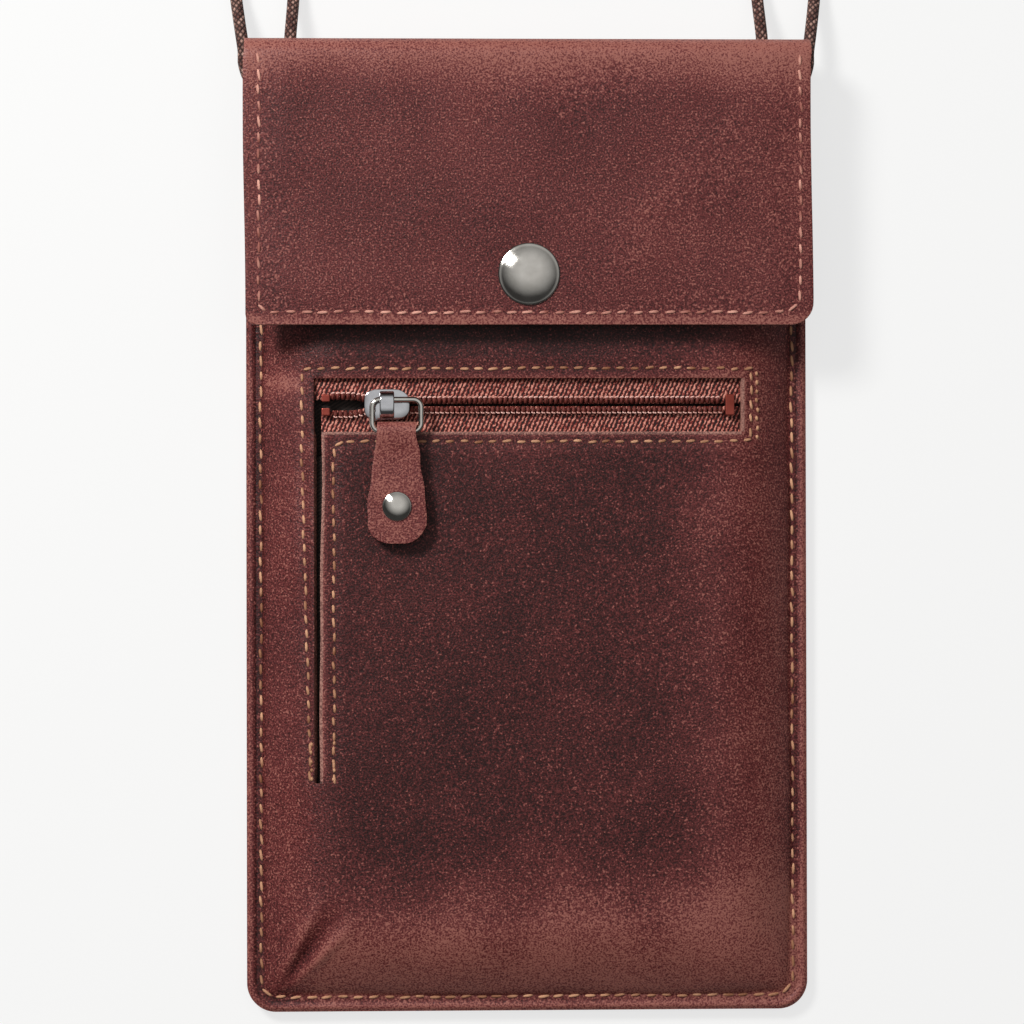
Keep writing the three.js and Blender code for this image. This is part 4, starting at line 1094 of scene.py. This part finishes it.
# Press stud: a domed steel cap riveted through the flap to a spring socket, and a post with a round
# head riveted through the front to a washer behind it.
STUD_Y = 51.5
cap_profile = dome(low=15.6, rise=1.8, radius=6.3, lip=0.25) + [(1.5, 15.6), (1.5, 13.6), (0, 13.6)]
cap = turn_piece("stud_dome", cap_profile, 0, STUD_Y, nickel, steps=72)
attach(cap, "flap")
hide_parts("stud_cap")
socket_profile = [
    (0, 13.0), (2.4, 13.0), (2.4, 11.7), (2.7, 11.4), (4.1, 11.4), (4.4, 11.7), (4.8, 12.9),
    (4.8, 13.5), (0, 13.5),
]
socket = turn_piece("stud_spring_socket", socket_profile, 0, STUD_Y, nickel)
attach(socket, "flap")
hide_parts("stud_socket")
post_profile = [
    (0, 12.6), (1.3, 12.55), (1.9, 12.3), (2.1, 11.9), (1.9, 11.4), (1.9, 11.15), (4.3, 11.05),
    (4.5, 10.8), (4.5, 10.5), (1.5, 10.5), (1.5, 8.3), (0, 8.3),
]
post = turn_piece("stud_head", post_profile, 0, STUD_Y, nickel)
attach(post, "pouch")
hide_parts("stud_post")
dress("stud_washer", nickel, 0.12)

# Stitching: lockstitch in thick bonded thread, each stitch lying in the leather's pulled-down groove.
# Stitches are 3.2 mm apart on the seams and closer round the pockets' openings.
SEAM_PITCH = 3.2
POCKET_PITCH = 2.9
END_PITCH = 1.9
BACKTACK_PITCH = 1.7
BACKTACK_LENGTH = 9
STITCH_RADIUS = 0.31
STITCH_GAP = 0.75
random.seed(11)


def sew(bm, path, pitch, surface):
    """Lays stitches along a path in plan, on the surface whose height is given."""
    line = [Vector((*p, 0)) for p in path]
    lengths = lengths_along(line)
    count = max(1, round(lengths[-1] / pitch))
    step = lengths[-1] / count
    for i in range(count):
        start, stop = along(line, lengths, (i + 0.05) * step), along(line, lengths, (i + 0.95) * step)
        middle, run = (start + stop) / 2, stop - start
        x = middle.x + random.uniform(-0.15, 0.15)
        y = middle.y + random.uniform(-0.15, 0.15)
        half = min(run.length, step - STITCH_GAP) / 2 * random.uniform(0.82, 1.05)
        turn = math.atan2(run.y, run.x) + random.uniform(-0.02, 0.2)
        size = (half, STITCH_RADIUS, STITCH_RADIUS * 0.85)
        lay_bar(bm, (x, y, surface(x, y) + 0.1), size, turn, droop=0.22)


def bend_round(left, low, right, high, radii):
    """A path down the left side, along the bottom and up the right side, its two corners rounded."""
    path = [(left, high)] + arc(left + radii[0], low + radii[0], radii[0], 180, steps=5)
    return path + arc(right - radii[1], low + radii[1], radii[1], 270, steps=5) + [(right, high)]


seam_half = HALF_WIDTH - STITCH_INSET
bm = bmesh.new()
seam = bend_round(-seam_half, STITCH_INSET - TOP_Y, seam_half, MOUTH_Y - 1, (3.2, 3.2))
sew(bm, seam, SEAM_PITCH, front_height)
seam_stitches = make_piece("seam_stitches", bm, thread)
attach(seam_stitches, "pouch")
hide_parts("seam_thread")

bm = bmesh.new()
flap_seam = bend_round(-seam_half, FLAP_EDGE_Y + 2.5, seam_half + 0.7, 97, (0.6, 3.4))
sew(bm, flap_seam, SEAM_PITCH, lambda x, y: FLAP_MIDDLE_Z + LEATHER / 2 + flap_rise(x, y) - 0.05)
flap_stitches = make_piece("flap_stitches", bm, flap_thread)
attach(flap_stitches, "flap")
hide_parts("flap_thread")

bm = bmesh.new()
above, below = WINDOW_HIGH + WINDOW_STITCH, WINDOW_LOW - WINDOW_STITCH
right_of = WINDOW_HALF + WINDOW_STITCH
tack_top, tack_x = SLIT_LOW + BACKTACK_LENGTH, left_row(SLIT_LOW)
left_side = [(left_row(SLIT_LOW + up), SLIT_LOW + up) for up in even_rows(WINDOW_LOW - SLIT_LOW, 6)]
right_side = [(RIGHT_ROW, below), (RIGHT_ROW, SLIT_LOW - 0.5)]
pocket_rows = [
    (left_side + [(left_row(above), above), (right_of + 0.8, above)], POCKET_PITCH),
    ([(right_of, above), (right_of, below)] + right_side, POCKET_PITCH),
    ([(right_of + 1.3, above), (right_of + 1.3, below)], END_PITCH),
    ([(tack_x + 0.5, SLIT_LOW), (tack_x + 0.3, tack_top)], BACKTACK_PITCH),
    ([(RIGHT_ROW, SLIT_LOW), (RIGHT_ROW, tack_top)], BACKTACK_PITCH),
]
for path, pitch in pocket_rows:
    sew(bm, path, pitch, front_height)
pocket_stitches = make_piece("pocket_stitches", bm, thread)
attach(pocket_stitches, "pouch")
